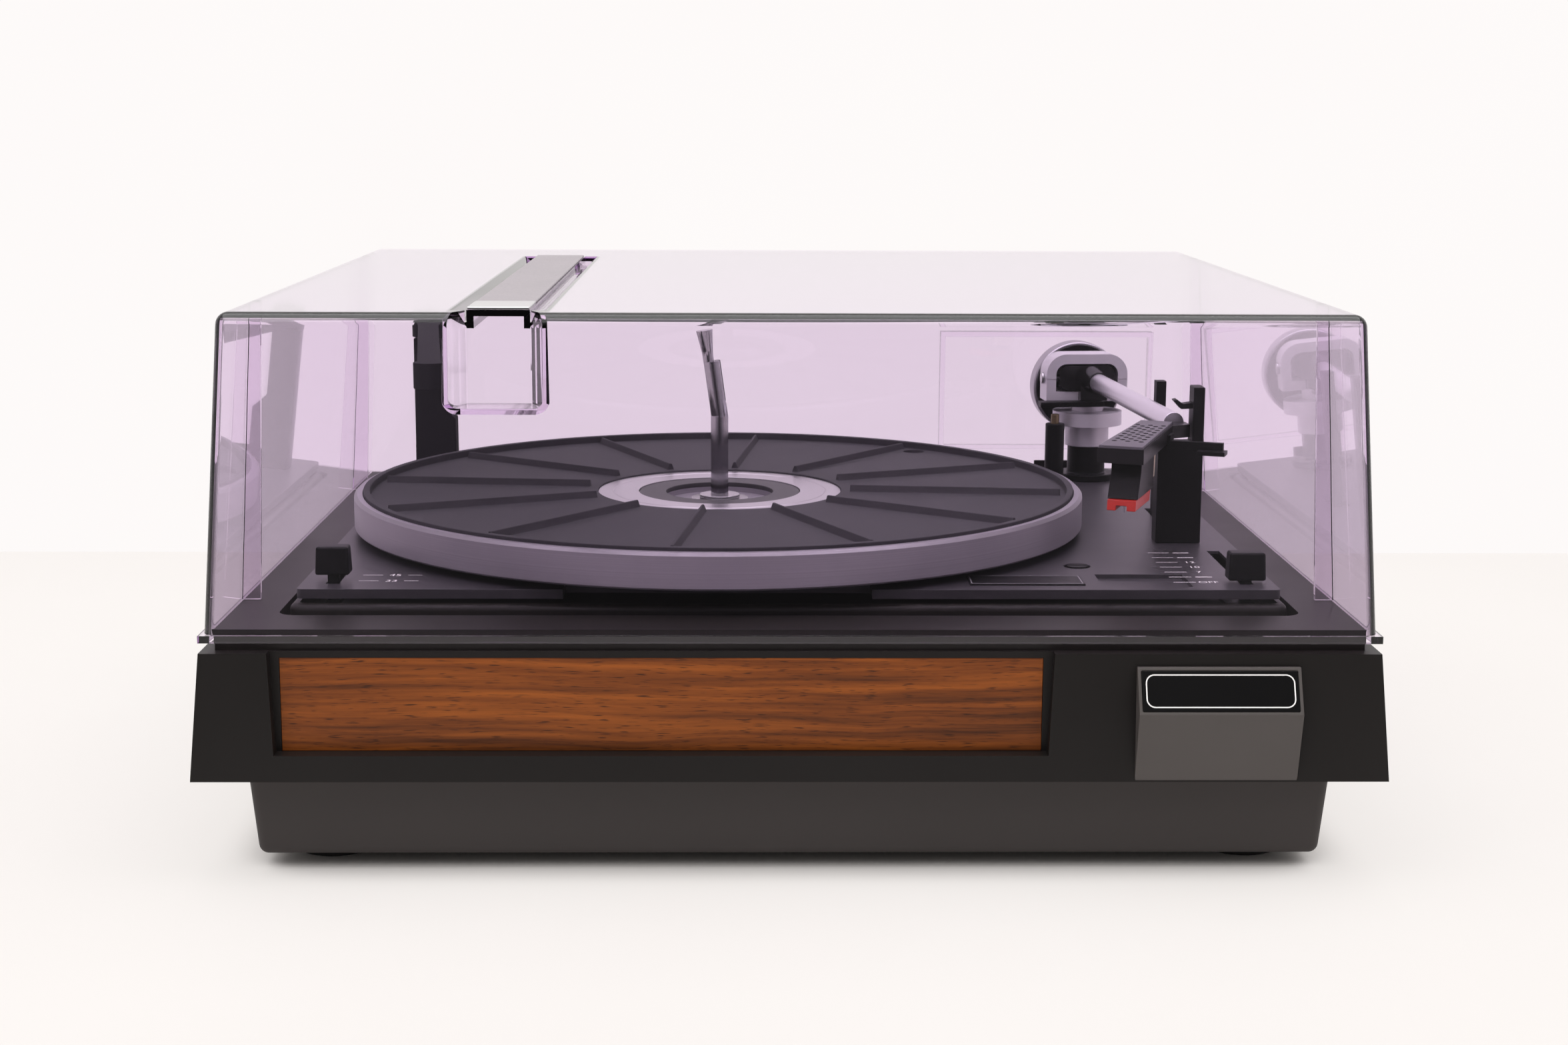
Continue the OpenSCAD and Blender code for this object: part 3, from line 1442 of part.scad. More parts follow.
module program_knob() {
    color("#131215") from_front() knob(program_x, program_y, program_knob_gap, program_knob_w);
}

// Dust cover
groove_d = 4;
groove_end = 53;
groove_flare = 1.6;
groove_floor = 0.8;
pocket_r = 3;
bulge_x = [pivot_x - 62, pivot_x + 38];
bulge_z = [cover_z0 + 14, cover_z0 + 70];
bulge_back = 0.5;
bulge_y = skirt_d - bulge_back;
bulge_in = 14;
bulge_hollow = 30;
fin_t = 2;
fin_w = [6.5, 3.8];
fin_y = [56, skirt_d - 60];
fin_gap = 0.2;
hinge_mouth = 18;
grip_z = cover_z1 - grip_h;
grip_y = cover_y0 + cover_lean + grip_d;
strip_hw = strip_w / 2;
strip_t = 0.8;
strip_edge = 0.3;
strip_fit = 0.2;
strip_in = 3;
strip_back = cover_y1 - cover_lean - groove_end - strip_in;
end_plate_len = 24;

// Tapered box, smaller all round by the inset, drawn down by drop
module cover_form(inset, drop) {
    low = cover_lean * drop / cover_h;
    h = cover_h - inset + drop;
    lean = cover_lean * h / cover_h;
    translate([0, cover_y0 - low + inset, cover_z0 - drop])
        lean_block(cover_w + 2 * (low - inset), cover_d + 2 * (low - inset), h, lean, lean);
}

// Grip pocket in the front and the grooves beside the strip, larger all round by g
module cover_dents(g) {
    hw = grip_w / 2;
    top = cover_z1 + cut;
    rim_y = cover_y0 + cover_lean;
    floor_z = cover_z1 - groove_d - g;
    translate([grip_x, 0, 0]) {
        intersection() {
            translate([0, 0, grip_z - g]) linear_extrude(top - grip_z + g)
                polygon([[-hw - g, -cut], [hw + g, -cut], [hw + g, rim_y], [strip_hw + g, grip_y + g],
                    [-strip_hw - g, grip_y + g], [-hw - g, rim_y]]);
            along_y(-cut, grip_y + g + cut) translate([-hw - g, grip_z - g])
                round_rect(2 * (hw + g), grip_h + g + 2 * pocket_r, pocket_r + g);
        }
        for (s = [0, 1]) mirror([s, 0, 0]) along_y(grip_y - cut, cover_y1 - cover_lean - groove_end + g)
            polygon([[hw + groove_flare + 2 * g, top], [strip_hw - g, top], [strip_hw - g, floor_z],
                [strip_hw + groove_floor, floor_z]]);
    }
}

// X of the middle of the cover's side wall at a height
function wall_x(z) = cover_w / 2 - cover_wall / 2 - cover_lean * (z - cover_z0) / cover_h;

// Fin inside the right side wall, from the deck's frame to the top
module cover_fin(y) {
    low = frame_z + fin_gap;
    high = cover_z1 - cover_wall / 2;
    skin = cover_wall / 2;
    along_y(y - fin_t / 2, y + fin_t / 2) polygon([[wall_x(low) - skin - fin_w[0], low], [wall_x(low), low],
        [wall_x(high), high], [wall_x(high) - skin - fin_w[1], high]]);
}

module dust_cover() {
    lip = lip_out;
    bulge_w = bulge_x[1] - bulge_x[0];
    bulge_h = bulge_z[1] - bulge_z[0];
    color("#b8a6c8", 0.35) from_front() {
        difference() {
            union() {
                cover_form(0, 0);
                translate([-cover_w / 2 - lip, cover_y0 - lip, cover_z0])
                    cube([cover_w + 2 * lip, cover_d + 2 * lip, lip_h]);
                translate([bulge_x[0], cover_y1 - bulge_in, bulge_z[0]])
                    cube([bulge_w, bulge_y - cover_y1 + bulge_in, bulge_h]);
            }
            difference() {
                union() {
                    cover_form(cover_wall, 1);
                    translate([bulge_x[0] + cover_wall, cover_y1 - bulge_hollow, bulge_z[0] + cover_wall])
                        cube([bulge_w - 2 * cover_wall, bulge_y - cover_y1 + bulge_hollow - cover_wall,
                            bulge_h - 2 * cover_wall]);
                }
                cover_dents(cover_wall);
            }
            cover_dents(0);
            for (x = hinge_spots) translate([x - hinge_mouth / 2, cover_y1, cover_z0 - cut])
                cube([hinge_mouth, lip_out + cut, lip_h + 2 * cut]);
        }
        for (s = [0, 1], y = fin_y) mirror([s, 0, 0]) cover_fin(y);
    }
}

module cover_strip() {
    front = grip_y + end_plate_len + loose_fit;
    color("#19181b") from_front() translate([grip_x - strip_hw + strip_edge, front, cover_z1])
        cube([strip_w - 2 * strip_edge, strip_back - front, strip_t]);
}

module strip_end_plate() {
    color("gainsboro") from_front() translate([grip_x - strip_hw + strip_fit, grip_y + strip_fit, cover_z1])
        cube([strip_w - 2 * strip_fit, end_plate_len - strip_fit, strip_t + strip_fit]);
}

// Hinges
ear_w = 8;
leaf_gap = 0.8;
leaf_hw = hinge_w / 2 - ear_w - leaf_gap;
leaf_t = 1.6;
leaf_h = 12;
hinge_fit = 0.2;
pin_share = 0.4;
hinge_pin_r = barrel_r * pin_share;
hinge_pin_in = 0.4;
press_fit = 0.01;

module barrel(x0, x1, r) {
    translate([x0, hinge_y, hinge_z]) rotate([0, 90, 0]) cylinder(h = x1 - x0, r = r);
}

module hinge_bases() {
    side = hinge_w / 2 - hinge_fit;
    color("#1d1c20") from_front() for (x = hinge_spots) translate([x, 0, 0]) difference() {
        union() {
            translate([-side, base_front + hinge_fit, base_z + hinge_fit])
                cube([2 * side, base_back - base_front - hinge_fit, skirt_z1 - base_z - loose_fit]);
            for (s = [-side, side - ear_w]) {
                barrel(s, s + ear_w, barrel_r);
                translate([s, base_back - cut, hinge_z - barrel_r])
                    cube([ear_w, hinge_y - base_back + cut, barrel_r]);
            }
        }
        barrel(-hinge_w, hinge_w, hinge_pin_r + run_fit);
    }
}

module hinge_leaves() {
    y = cover_y1 + lap;
    color("#1d1c20") from_front() for (x = hinge_spots) translate([x, 0, 0]) difference() {
        union() {
            barrel(-leaf_hw, leaf_hw, barrel_r);
            translate([-leaf_hw, y, hinge_z]) cube([2 * leaf_hw, leaf_t, leaf_h]);
        }
        barrel(-hinge_w, hinge_w, hinge_pin_r + press_fit);
    }
}

module hinge_pins() {
    color("silver") from_front() for (x = hinge_spots) translate([x, 0, 0])
        barrel(-hinge_w / 2 + hinge_pin_in, hinge_w / 2 - hinge_pin_in, hinge_pin_r);
}

plinth_shell();
base_pan();
rubber_feet();
foot_screws();
base_screws();
wood_panel();
badge_housing();
name_plate();
cable_grommets();
unit_plate();
suspension_springs();
transit_screws();
label_plate();
bearing_tube();
thrust_race();
retaining_clip();
platter();
platter_mat();
trim_ring();
hub_ring();
drive_belt();
motor_body();
motor_grommets();
motor_pulley();
cycle_gear();
changer_spindle();
spindle_pusher();
overarm_post();
overarm();
arm_base();
arm_pillar();
arm_yoke();
pivot_screws();
arm_socket();
arm_tube();
counterweight();
counterweight_cap();
headshell();
headshell_grille();
finger_lift();
cartridge_bracket();
cartridge_body();
stylus_holder();
stylus_tip();
lift_plate();
arm_rest();
arm_clip();
cue_post();
cue_pin();
cue_lever();
speed_lever();
speed_knob();
program_lever();
program_knob();
dust_cover();
cover_strip();
strip_end_plate();
hinge_bases();
hinge_leaves();
hinge_pins();
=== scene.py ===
import json
import math

import bmesh
import bpy
from mathutils import Matrix, Vector


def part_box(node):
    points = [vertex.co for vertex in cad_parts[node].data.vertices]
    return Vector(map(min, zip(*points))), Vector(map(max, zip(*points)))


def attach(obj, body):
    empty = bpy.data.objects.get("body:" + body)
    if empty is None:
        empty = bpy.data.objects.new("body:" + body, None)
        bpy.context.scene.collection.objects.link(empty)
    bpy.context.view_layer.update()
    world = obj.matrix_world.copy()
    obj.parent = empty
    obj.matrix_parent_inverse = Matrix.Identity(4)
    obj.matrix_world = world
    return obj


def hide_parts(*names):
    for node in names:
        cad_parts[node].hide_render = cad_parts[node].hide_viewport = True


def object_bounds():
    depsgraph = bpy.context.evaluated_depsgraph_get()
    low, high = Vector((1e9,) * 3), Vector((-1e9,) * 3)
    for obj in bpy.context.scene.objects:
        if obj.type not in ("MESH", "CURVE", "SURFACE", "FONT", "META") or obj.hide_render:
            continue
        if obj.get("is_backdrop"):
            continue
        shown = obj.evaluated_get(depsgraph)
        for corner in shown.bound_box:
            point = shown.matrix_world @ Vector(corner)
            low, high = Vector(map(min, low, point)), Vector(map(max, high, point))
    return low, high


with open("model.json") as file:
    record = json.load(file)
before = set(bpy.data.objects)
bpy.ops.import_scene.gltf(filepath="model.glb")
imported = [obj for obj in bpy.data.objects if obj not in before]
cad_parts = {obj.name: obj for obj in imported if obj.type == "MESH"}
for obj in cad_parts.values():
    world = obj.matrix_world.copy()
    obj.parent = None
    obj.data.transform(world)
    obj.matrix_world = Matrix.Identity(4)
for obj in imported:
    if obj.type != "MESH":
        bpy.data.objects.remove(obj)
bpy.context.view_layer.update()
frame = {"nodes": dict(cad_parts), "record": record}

# Camera: a little above the lid, almost square to the front and slightly left of the middle,
# with a lens of about 53 mm, so the lid's top shows as a thin slope.
YAW, PITCH, ROLL = (math.radians(a) for a in (0.955, 10.289, 0.249))
aim = Vector((math.sin(YAW) * math.cos(PITCH), math.cos(YAW) * math.cos(PITCH), -math.sin(PITCH)))
level = Vector((math.cos(YAW), -math.sin(YAW), 0))
lift = level.cross(aim)
across = level * math.cos(ROLL) + lift * math.sin(ROLL)
upward = lift * math.cos(ROLL) - level * math.sin(ROLL)
camera = bpy.data.objects.new("camera", bpy.data.cameras.new("camera"))
bpy.context.scene.collection.objects.link(camera)
camera.data.sensor_width = 36
camera.data.lens = 53.43
camera_stand = (-0.015515, -0.919996, 0.260)
turn = Matrix((across, upward, -aim)).transposed().to_4x4()
camera.matrix_world = Matrix.Translation(camera_stand) @ turn
bpy.context.scene.camera = camera
bpy.context.scene.view_settings.view_transform = "Standard"


# Table and wall: a white painted table top that ends two hands' breadths behind the set, and a white
# painted wall further back. Soft boxes above and beside the camera light both.
def lin(colour):
    """sRGB hex value to linear red, green, blue, alpha."""
    parts = [int(colour[i:i + 2], 16) / 255 for i in (1, 3, 5)]
    return [c / 12.92 if c <= 0.04045 else ((c + 0.055) / 1.055) ** 2.4 for c in parts] + [1.0]


def add(tree, kind, links=None, **settings):
    """Adds a node, sets its attributes, and sets or links its inputs."""
    node = tree.nodes.new(kind)
    for name, value in settings.items():
        setattr(node, name, value)
    for name, value in (links or {}).items():
        if isinstance(value, bpy.types.NodeSocket):
            tree.links.new(value, node.inputs[name])
        else:
            node.inputs[name].default_value = value
    return node


def blank(name):
    """A material with an empty node tree, and that tree."""
    mat = bpy.data.materials.new(name)
    mat.use_nodes = True
    mat.node_tree.nodes.clear()
    return mat, mat.node_tree


def mesh_object(name, verts, faces, mat=None):
    mesh = bpy.data.meshes.new(name)
    mesh.from_pydata(verts, [], faces)
    obj = bpy.data.objects.new(name, mesh)
    bpy.context.scene.collection.objects.link(obj)
    if mat:
        mesh.materials.append(mat)
    return obj


CONTACT_SHADOW = 0.04
PAINT_ROUGH = 0.6


def painted_board(name, colour, second, glow):
    """White paint. What the lens sees of it, straight, mirrored or through the lid, glows by a share. A painted
    shadow fades that glow where the set stands over it or close by: ambient occlusion, sharpened by a map range."""
    mat, tree = blank(name)
    where = add(tree, "ShaderNodeTexCoord").outputs["Object"]
    mottle = add(tree, "ShaderNodeTexNoise", {"Vector": where, "Scale": 3.0, "Detail": 3.0}).outputs[0]
    tone = add(tree, "ShaderNodeMix", {0: mottle, 6: lin(colour), 7: lin(second)}, data_type="RGBA").outputs[2]
    paint = add(tree, "ShaderNodeBsdfPrincipled", {"Base Color": tone, "Roughness": PAINT_ROUGH})
    light = add(tree, "ShaderNodeEmission", {"Color": tone, "Strength": 1.0})
    path = add(tree, "ShaderNodeLightPath").outputs
    seen = add(tree, "ShaderNodeMath", {0: path["Is Camera Ray"], 1: path["Is Glossy Ray"]}, operation="MAXIMUM")
    seen = add(tree, "ShaderNodeMath", {0: seen.outputs[0], 1: path["Is Transmission Ray"]}, operation="MAXIMUM")
    # Painted contact shadow: ambient occlusion within CONTACT_SHADOW, sharpened by a map range, takes the glow away
    # under and beside the set.
    sky = add(tree, "ShaderNodeAmbientOcclusion", {"Distance": CONTACT_SHADOW}, samples=16).outputs["AO"]
    outside_painted_shadow = add(tree, "ShaderNodeMapRange", {"Value": sky, "From Min": 0.3, "From Max": 0.65}).outputs[0]
    share = add(tree, "ShaderNodeMath", {0: seen.outputs[0], 1: glow}, operation="MULTIPLY").outputs[0]
    share = add(tree, "ShaderNodeMath", {0: share, 1: outside_painted_shadow}, operation="MULTIPLY").outputs[0]
    both = add(tree, "ShaderNodeMixShader", {0: share, 1: paint.outputs[0], 2: light.outputs[0]})
    add(tree, "ShaderNodeOutputMaterial", {"Surface": both.outputs[0]})
    return mat


TABLE_FRONT, TABLE_BACK, TABLE_SIDE = -0.55, 0.414, 3
WALL_BEHIND, WALL_SIDE, WALL_FOOT, WALL_TOP = 1.2, 6, -2, 6
table_white = painted_board("white_table_top", "#efeae7", "#f3efec", 0.78)
wall_white = painted_board("white_wall", "#fdf9f8", "#fefbfa", 1.0)
table = mesh_object("table", [(-TABLE_SIDE, TABLE_FRONT, 0), (TABLE_SIDE, TABLE_FRONT, 0),
                              (TABLE_SIDE, TABLE_BACK, 0), (-TABLE_SIDE, TABLE_BACK, 0)],
                    [(0, 1, 2, 3)], table_white)
wall_y = TABLE_BACK + WALL_BEHIND
wall = mesh_object("wall", [(-WALL_SIDE, wall_y, WALL_FOOT), (WALL_SIDE, wall_y, WALL_FOOT),
                            (WALL_SIDE, wall_y, WALL_TOP), (-WALL_SIDE, wall_y, WALL_TOP)],
                   [(0, 1, 2, 3)], wall_white)
table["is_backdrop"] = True
wall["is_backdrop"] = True


def soft_box(name, place, target, size, power):
    lamp = bpy.data.lights.new(name, "AREA")
    lamp.shape = "RECTANGLE"
    lamp.size, lamp.size_y = size
    lamp.energy = power
    obj = bpy.data.objects.new(name, lamp)
    obj.location = place
    obj.rotation_euler = (Vector(target) - Vector(place)).to_track_quat("-Z", "Y").to_euler()
    bpy.context.scene.collection.objects.link(obj)


soft_box("overhead_box", (0, -0.15, 1.7), (0, 0, 0), (2.4, 1.8), 37)
soft_box("front_box", (-0.5, -1.5, 1.6), (0, 0, 0.1), (1.8, 1.0), 8)

# The room behind the camera is dim, so the sky is bright overhead and to the sides, and dark at the
# horizon in front. What the lens sees of it, straight or through the lid, is white all round.
world = bpy.data.worlds.new("studio")
bpy.context.scene.world = world
world.use_nodes = True
tree = world.node_tree
tree.nodes.clear()
split = add(tree, "ShaderNodeSeparateXYZ", {0: add(tree, "ShaderNodeTexCoord").outputs["Generated"]}).outputs
aside = add(tree, "ShaderNodeMath", {0: split[0]}, operation="ABSOLUTE").outputs[0]
aside = add(tree, "ShaderNodeMath", {0: aside, 1: 0.6}, operation="MULTIPLY").outputs[0]
clear_of_front = add(tree, "ShaderNodeMath", {0: split[2], 1: aside}, operation="MAXIMUM").outputs[0]
shine = add(tree, "ShaderNodeMapRange", {"Value": clear_of_front, "From Min": 0.05, "From Max": 0.7,
                                         "To Min": 0.06, "To Max": 0.8}).outputs[0]
path = add(tree, "ShaderNodeLightPath").outputs
unmirrored = add(tree, "ShaderNodeMath", {0: path["Glossy Depth"], 1: 0.5}, operation="LESS_THAN").outputs[0]
through = add(tree, "ShaderNodeMath", {0: path["Is Transmission Ray"], 1: unmirrored}, operation="MULTIPLY")
seen = add(tree, "ShaderNodeMath", {0: path["Is Camera Ray"], 1: through.outputs[0]}, operation="MAXIMUM")
shine = add(tree, "ShaderNodeMath", {0: shine, 1: seen.outputs[0]}, operation="MAXIMUM").outputs[0]
sky = add(tree, "ShaderNodeBackground", {"Color": lin("#fdfbfa"), "Strength": shine})
add(tree, "ShaderNodeOutputWorld", {"Surface": sky.outputs[0]})


# Plinth: one flared moulding in charcoal ABS with a satin, finely eroded surface. Its edges are
# rounded by the mould, so every moulded piece here is its solid with the edges eased.
body_of = {n: b for b, names in frame["record"]["behaviour"]["bodies"].items() for n in names}
WELD = 2e-6
HAIR = 1e-5
FLAT_SEAM = math.radians(0.4)
SHARP_EDGE = 1.0
ROUND_STEPS = 8


def plain_mesh(obj):
    """Turns an object's modifiers into its mesh."""
    bpy.context.view_layer.update()
    seen = obj.evaluated_get(bpy.context.evaluated_depsgraph_get())
    mesh = bpy.data.meshes.new_from_object(seen)
    obj.modifiers.clear()
    obj.data = mesh
    return obj


def eased(node, mat, width, segments=2, angle=28, merge=True, round_first=None):
    """Copy of a solid with its edges rounded by a width in millimetres, standing for the solid.
    The edges that round_first chooses are rounded first, more widely, on a copy cut into quarters so
    that no seam of a flat face ends at their corners."""
    bm = bmesh.new()
    bm.from_mesh(frame["nodes"][node].data)
    bmesh.ops.remove_doubles(bm, verts=bm.verts, dist=WELD)
    if merge:
        bmesh.ops.dissolve_limit(bm, angle_limit=FLAT_SEAM, verts=bm.verts, edges=bm.edges)
    if round_first:
        chosen, wide = round_first
        for normal in ((1, 0, 0), (0, 1, 0)):
            whole = bm.verts[:] + bm.edges[:] + bm.faces[:]
            bmesh.ops.bisect_plane(bm, geom=whole, plane_co=(0, 0, 0), plane_no=normal)
        seams = [e for e in bm.edges if e.is_manifold and e.calc_face_angle() < FLAT_SEAM
                 and not any(all(abs(v.co[k]) < 1e-6 for v in e.verts) for k in (0, 1))]
        bmesh.ops.dissolve_edges(bm, edges=seams)
        bmesh.ops.bevel(bm, geom=[e for e in bm.edges if chosen(e)], offset=wide / 1000, segments=ROUND_STEPS,
                        profile=0.5, affect="EDGES", clamp_overlap=True)
    mesh = bpy.data.meshes.new(node + "_eased")
    bm.to_mesh(mesh)
    bm.free()
    mesh.materials.clear()
    mesh.materials.append(mat)
    for face in mesh.polygons:
        face.use_smooth = True
    obj = bpy.data.objects.new(node + "_eased", mesh)
    bpy.context.scene.collection.objects.link(obj)
    edge = obj.modifiers.new("ease", "BEVEL")
    edge.width = width / 1000
    edge.segments = segments
    edge.limit_method = "ANGLE"
    edge.angle_limit = math.radians(angle)
    edge.miter_outer = "MITER_ARC"
    weigh = obj.modifiers.new("weigh", "WEIGHTED_NORMAL")
    weigh.mode = "FACE_AREA"
    weigh.weight = 100
    plain_mesh(obj)
    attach(obj, body_of[node])
    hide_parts(node)
    return obj


def moulded_plastic(name, colour, second, rough, grain_mm, depth_mm, specular=0.5):
    """Moulded plastic: an even colour with a faint cloud, over a fine eroded grain."""
    mat, tree = blank(name)
    where = add(tree, "ShaderNodeTexCoord").outputs["Object"]
    cloud = add(tree, "ShaderNodeTexNoise", {"Vector": where, "Scale": 22.0, "Detail": 5.0}).outputs[0]
    grain = add(tree, "ShaderNodeTexNoise", {"Vector": where, "Scale": 1000 / grain_mm, "Detail": 2.0}).outputs[0]
    tone = add(tree, "ShaderNodeMix", {0: cloud, 6: lin(colour), 7: lin(second)}, data_type="RGBA")
    gloss = add(tree, "ShaderNodeMapRange", {"Value": cloud, "To Min": rough - 0.07, "To Max": rough + 0.07})
    relief = add(tree, "ShaderNodeBump", {"Height": grain, "Strength": 0.6, "Distance": depth_mm / 1000})
    shader = add(tree, "ShaderNodeBsdfPrincipled", {
        "Base Color": tone.outputs[2], "Roughness": gloss.outputs[0], "Normal": relief.outputs[0], "IOR": 1.52,
        "Specular IOR Level": specular})
    add(tree, "ShaderNodeOutputMaterial", {"Surface": shader.outputs[0]})
    return mat


charcoal_abs = moulded_plastic("charcoal_abs", "#181514", "#1d1a19", 0.42, 0.5, 0.006, specular=0.2)
deck_low, deck_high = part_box("unit_plate")
curb_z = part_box("plinth_shell")[1].z
CURB_PROUD = 0.0005
CURB_ROUND_MM = 2.4


def curb_rim(e):
    """The outer upper edge of the curb below the deck's edge."""
    ends = [v.co for v in e.verts]
    beyond = [max(c.x - deck_high.x, deck_low.x - c.x, c.y - deck_high.y, deck_low.y - c.y) for c in ends]
    on_top = min(c.z for c in ends) > curb_z - HAIR
    return on_top and min(beyond) > CURB_PROUD and e.calc_face_angle(0) > SHARP_EDGE


eased("plinth_shell", charcoal_abs, 0.8, round_first=(curb_rim, CURB_ROUND_MM))

# Base pan: the lighter, duller moulding under the skirt, with rubber feet held by plated screws
# and six screws up into the plinth.
pan_abs = moulded_plastic("dull_charcoal_abs", "#393433", "#403b3a", 0.6, 0.7, 0.01, specular=0.3)
eased("base_pan", pan_abs, 0.6)
black_rubber = moulded_plastic("black_rubber", "#151414", "#1c1b1b", 0.75, 0.6, 0.02)
for node in ("rubber_feet", "cable_grommets", "motor_grommets"):
    eased(node, black_rubber, 0.6)
eased("drive_belt", black_rubber, 0.1)


def bare_metal(name, colour, second, rough, grain_mm, stretch):
    """Metal with fine drawn or turned lines, which lie across the axis that stretch makes dense."""
    mat, tree = blank(name)
    where = add(tree, "ShaderNodeTexCoord").outputs["Object"]
    run = add(tree, "ShaderNodeMapping", {"Vector": where, "Scale": stretch}).outputs[0]
    line = add(tree, "ShaderNodeTexNoise", {"Vector": run, "Scale": 1000 / grain_mm, "Detail": 3.0}).outputs[0]
    tone = add(tree, "ShaderNodeMix", {0: line, 6: lin(colour), 7: lin(second)}, data_type="RGBA")
    gloss = add(tree, "ShaderNodeMapRange", {"Value": line, "To Min": rough - 0.06, "To Max": rough + 0.06})
    shader = add(tree, "ShaderNodeBsdfPrincipled", {
        "Base Color": tone.outputs[2], "Roughness": gloss.outputs[0], "Metallic": 1.0})
    add(tree, "ShaderNodeOutputMaterial", {"Surface": shader.outputs[0]})
    return mat


zinc_steel = bare_metal("zinc_plated_steel", "#a9a9a6", "#c2c2bf", 0.32, 0.8, (1, 1, 1))
for node in ("foot_screws", "base_screws"):
    eased(node, zinc_steel, 0.3)

# Front inlay: a strip of walnut veneer let into the skirt's niche, lacquered satin. Its grain runs
# along the front in uneven bands 2 to 6 mm apart, with short dark pores.
walnut, tree = blank("walnut_veneer")
where = add(tree, "ShaderNodeTexCoord").outputs["Object"]
drift = add(tree, "ShaderNodeTexNoise", {"Vector": where, "Scale": 9.0, "Detail": 2.0}).outputs[1]
bent = add(tree, "ShaderNodeVectorMath", {0: drift, 1: (0.03, 0.03, 0.012)}, operation="MULTIPLY").outputs[0]
along = add(tree, "ShaderNodeVectorMath", {0: where, 1: bent}, operation="ADD").outputs[0]
bands_at = add(tree, "ShaderNodeMapping", {"Vector": along, "Scale": (7, 0, 230)}).outputs[0]
bands = add(tree, "ShaderNodeTexNoise", {
    "Vector": bands_at, "Scale": 1.0, "Detail": 6.0, "Roughness": 0.62}).outputs[0]
fibre_at = add(tree, "ShaderNodeMapping", {"Vector": along, "Scale": (22, 0, 1500)}).outputs[0]
fibre = add(tree, "ShaderNodeTexNoise", {"Vector": fibre_at, "Scale": 1.0, "Detail": 3.0}).outputs[0]
pores_at = add(tree, "ShaderNodeMapping", {"Vector": along, "Scale": (150, 0, 2600)}).outputs[0]
pores = add(tree, "ShaderNodeTexNoise", {"Vector": pores_at, "Scale": 1.0, "Detail": 1.0}).outputs[0]
pore = add(tree, "ShaderNodeMapRange", {"Value": pores, "From Min": 0.6, "From Max": 0.72}).outputs[0]
wood = add(tree, "ShaderNodeValToRGB", {"Fac": bands})
wood.color_ramp.elements[0].position, wood.color_ramp.elements[0].color = 0.34, lin("#3a1c0b")
wood.color_ramp.elements[1].position, wood.color_ramp.elements[1].color = 0.66, lin("#9d551b")
wood.color_ramp.elements.new(0.5).color = lin("#743b12")
lively = add(tree, "ShaderNodeMix", {0: fibre, 6: wood.outputs[0], 7: lin("#854615")}, data_type="RGBA").outputs[2]
fine = add(tree, "ShaderNodeMapRange", {
    "Value": fibre, "From Min": 0.3, "From Max": 0.7, "To Min": 0.1, "To Max": 0.6})
mixed = add(tree, "ShaderNodeMix", {0: fine.outputs[0], 6: wood.outputs[0], 7: lively}, data_type="RGBA").outputs[2]
veneer = add(tree, "ShaderNodeMix", {0: pore, 6: mixed, 7: lin("#331a0b")}, data_type="RGBA").outputs[2]
relief = add(tree, "ShaderNodeBump", {"Height": pores, "Strength": 0.25, "Distance": 0.0001}).outputs[0]
shader = add(tree, "ShaderNodeBsdfPrincipled", {
    "Base Color": veneer, "Roughness": 0.48, "Normal": relief, "Specular IOR Level": 0.25})
add(tree, "ShaderNodeOutputMaterial", {"Surface": shader.outputs[0]})
eased("wood_panel", walnut, 0.25)

# Badge: a wedge-shaped housing on the right of the front, with a gloss black plate on its upper
# face. The plate keeps the printed white frame and is otherwise bare.
badge_abs = moulded_plastic("grey_abs", "#484341", "#504b49", 0.48, 0.5, 0.006, specular=0.3)
eased("badge_housing", badge_abs, 0.5)
gloss_black = moulded_plastic("gloss_black_plate", "#060506", "#0a090a", 0.16, 0.3, 0.002, specular=0.12)
eased("name_plate", gloss_black, 0.25)
white_ink = moulded_plastic("white_print", "#e9e7e4", "#f2f0ee", 0.5, 0.3, 0.01)
grey_ink = moulded_plastic("grey_print", "#7b787d", "#858287", 0.5, 0.3, 0.01)


def rounded_outline(half_w, half_h, radius, steps=8):
    """Points of a rectangle with round corners, anticlockwise."""
    points = []
    for quarter, (sx, sy) in enumerate(((1, 1), (-1, 1), (-1, -1), (1, -1))):
        for i in range(steps + 1):
            a = math.radians(90 * (quarter + i / steps))
            points.append((sx * (half_w - radius) + radius * math.cos(a),
                           sy * (half_h - radius) + radius * math.sin(a)))
    return points


PRINT_LIFT = 0.00006


def printed_frame(name, outer, inner, centre, u, v, n, mat):
    """A flat ring between two outlines of as many points, raised a little off the face it is printed on."""
    verts = [centre + u * x + v * y + n * PRINT_LIFT for x, y in outer + inner]
    count = len(outer)
    faces = [(i, (i + 1) % count, count + (i + 1) % count, count + i) for i in range(count)]
    return mesh_object(name, verts, faces, mat)


plate = frame["nodes"]["name_plate"].data
face = max((f for f in plate.polygons if f.normal.y < -0.3), key=lambda f: f.area)
n = face.normal.copy()
corners = [plate.vertices[i].co for f in plate.polygons if f.normal.dot(n) > 0.99 for i in f.vertices]
centre = Vector([(min(c[k] for c in corners) + max(c[k] for c in corners)) / 2 for k in range(3)])
u = Vector((1, 0, 0))
v = n.cross(u)
plate_w = max(c.x for c in corners) - min(c.x for c in corners)
plate_h = max((c - centre).dot(v) for c in corners) * 2
border = 0.00042
inset = 0.0012
corner = 0.003
outer = rounded_outline(plate_w / 2 - inset, plate_h / 2 - inset, corner)
inner = rounded_outline(plate_w / 2 - inset - border, plate_h / 2 - inset - border, corner - border)
ring = printed_frame("plate_frame_print", outer, inner, centre, u, v, n, white_ink)
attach(ring, body_of["name_plate"])

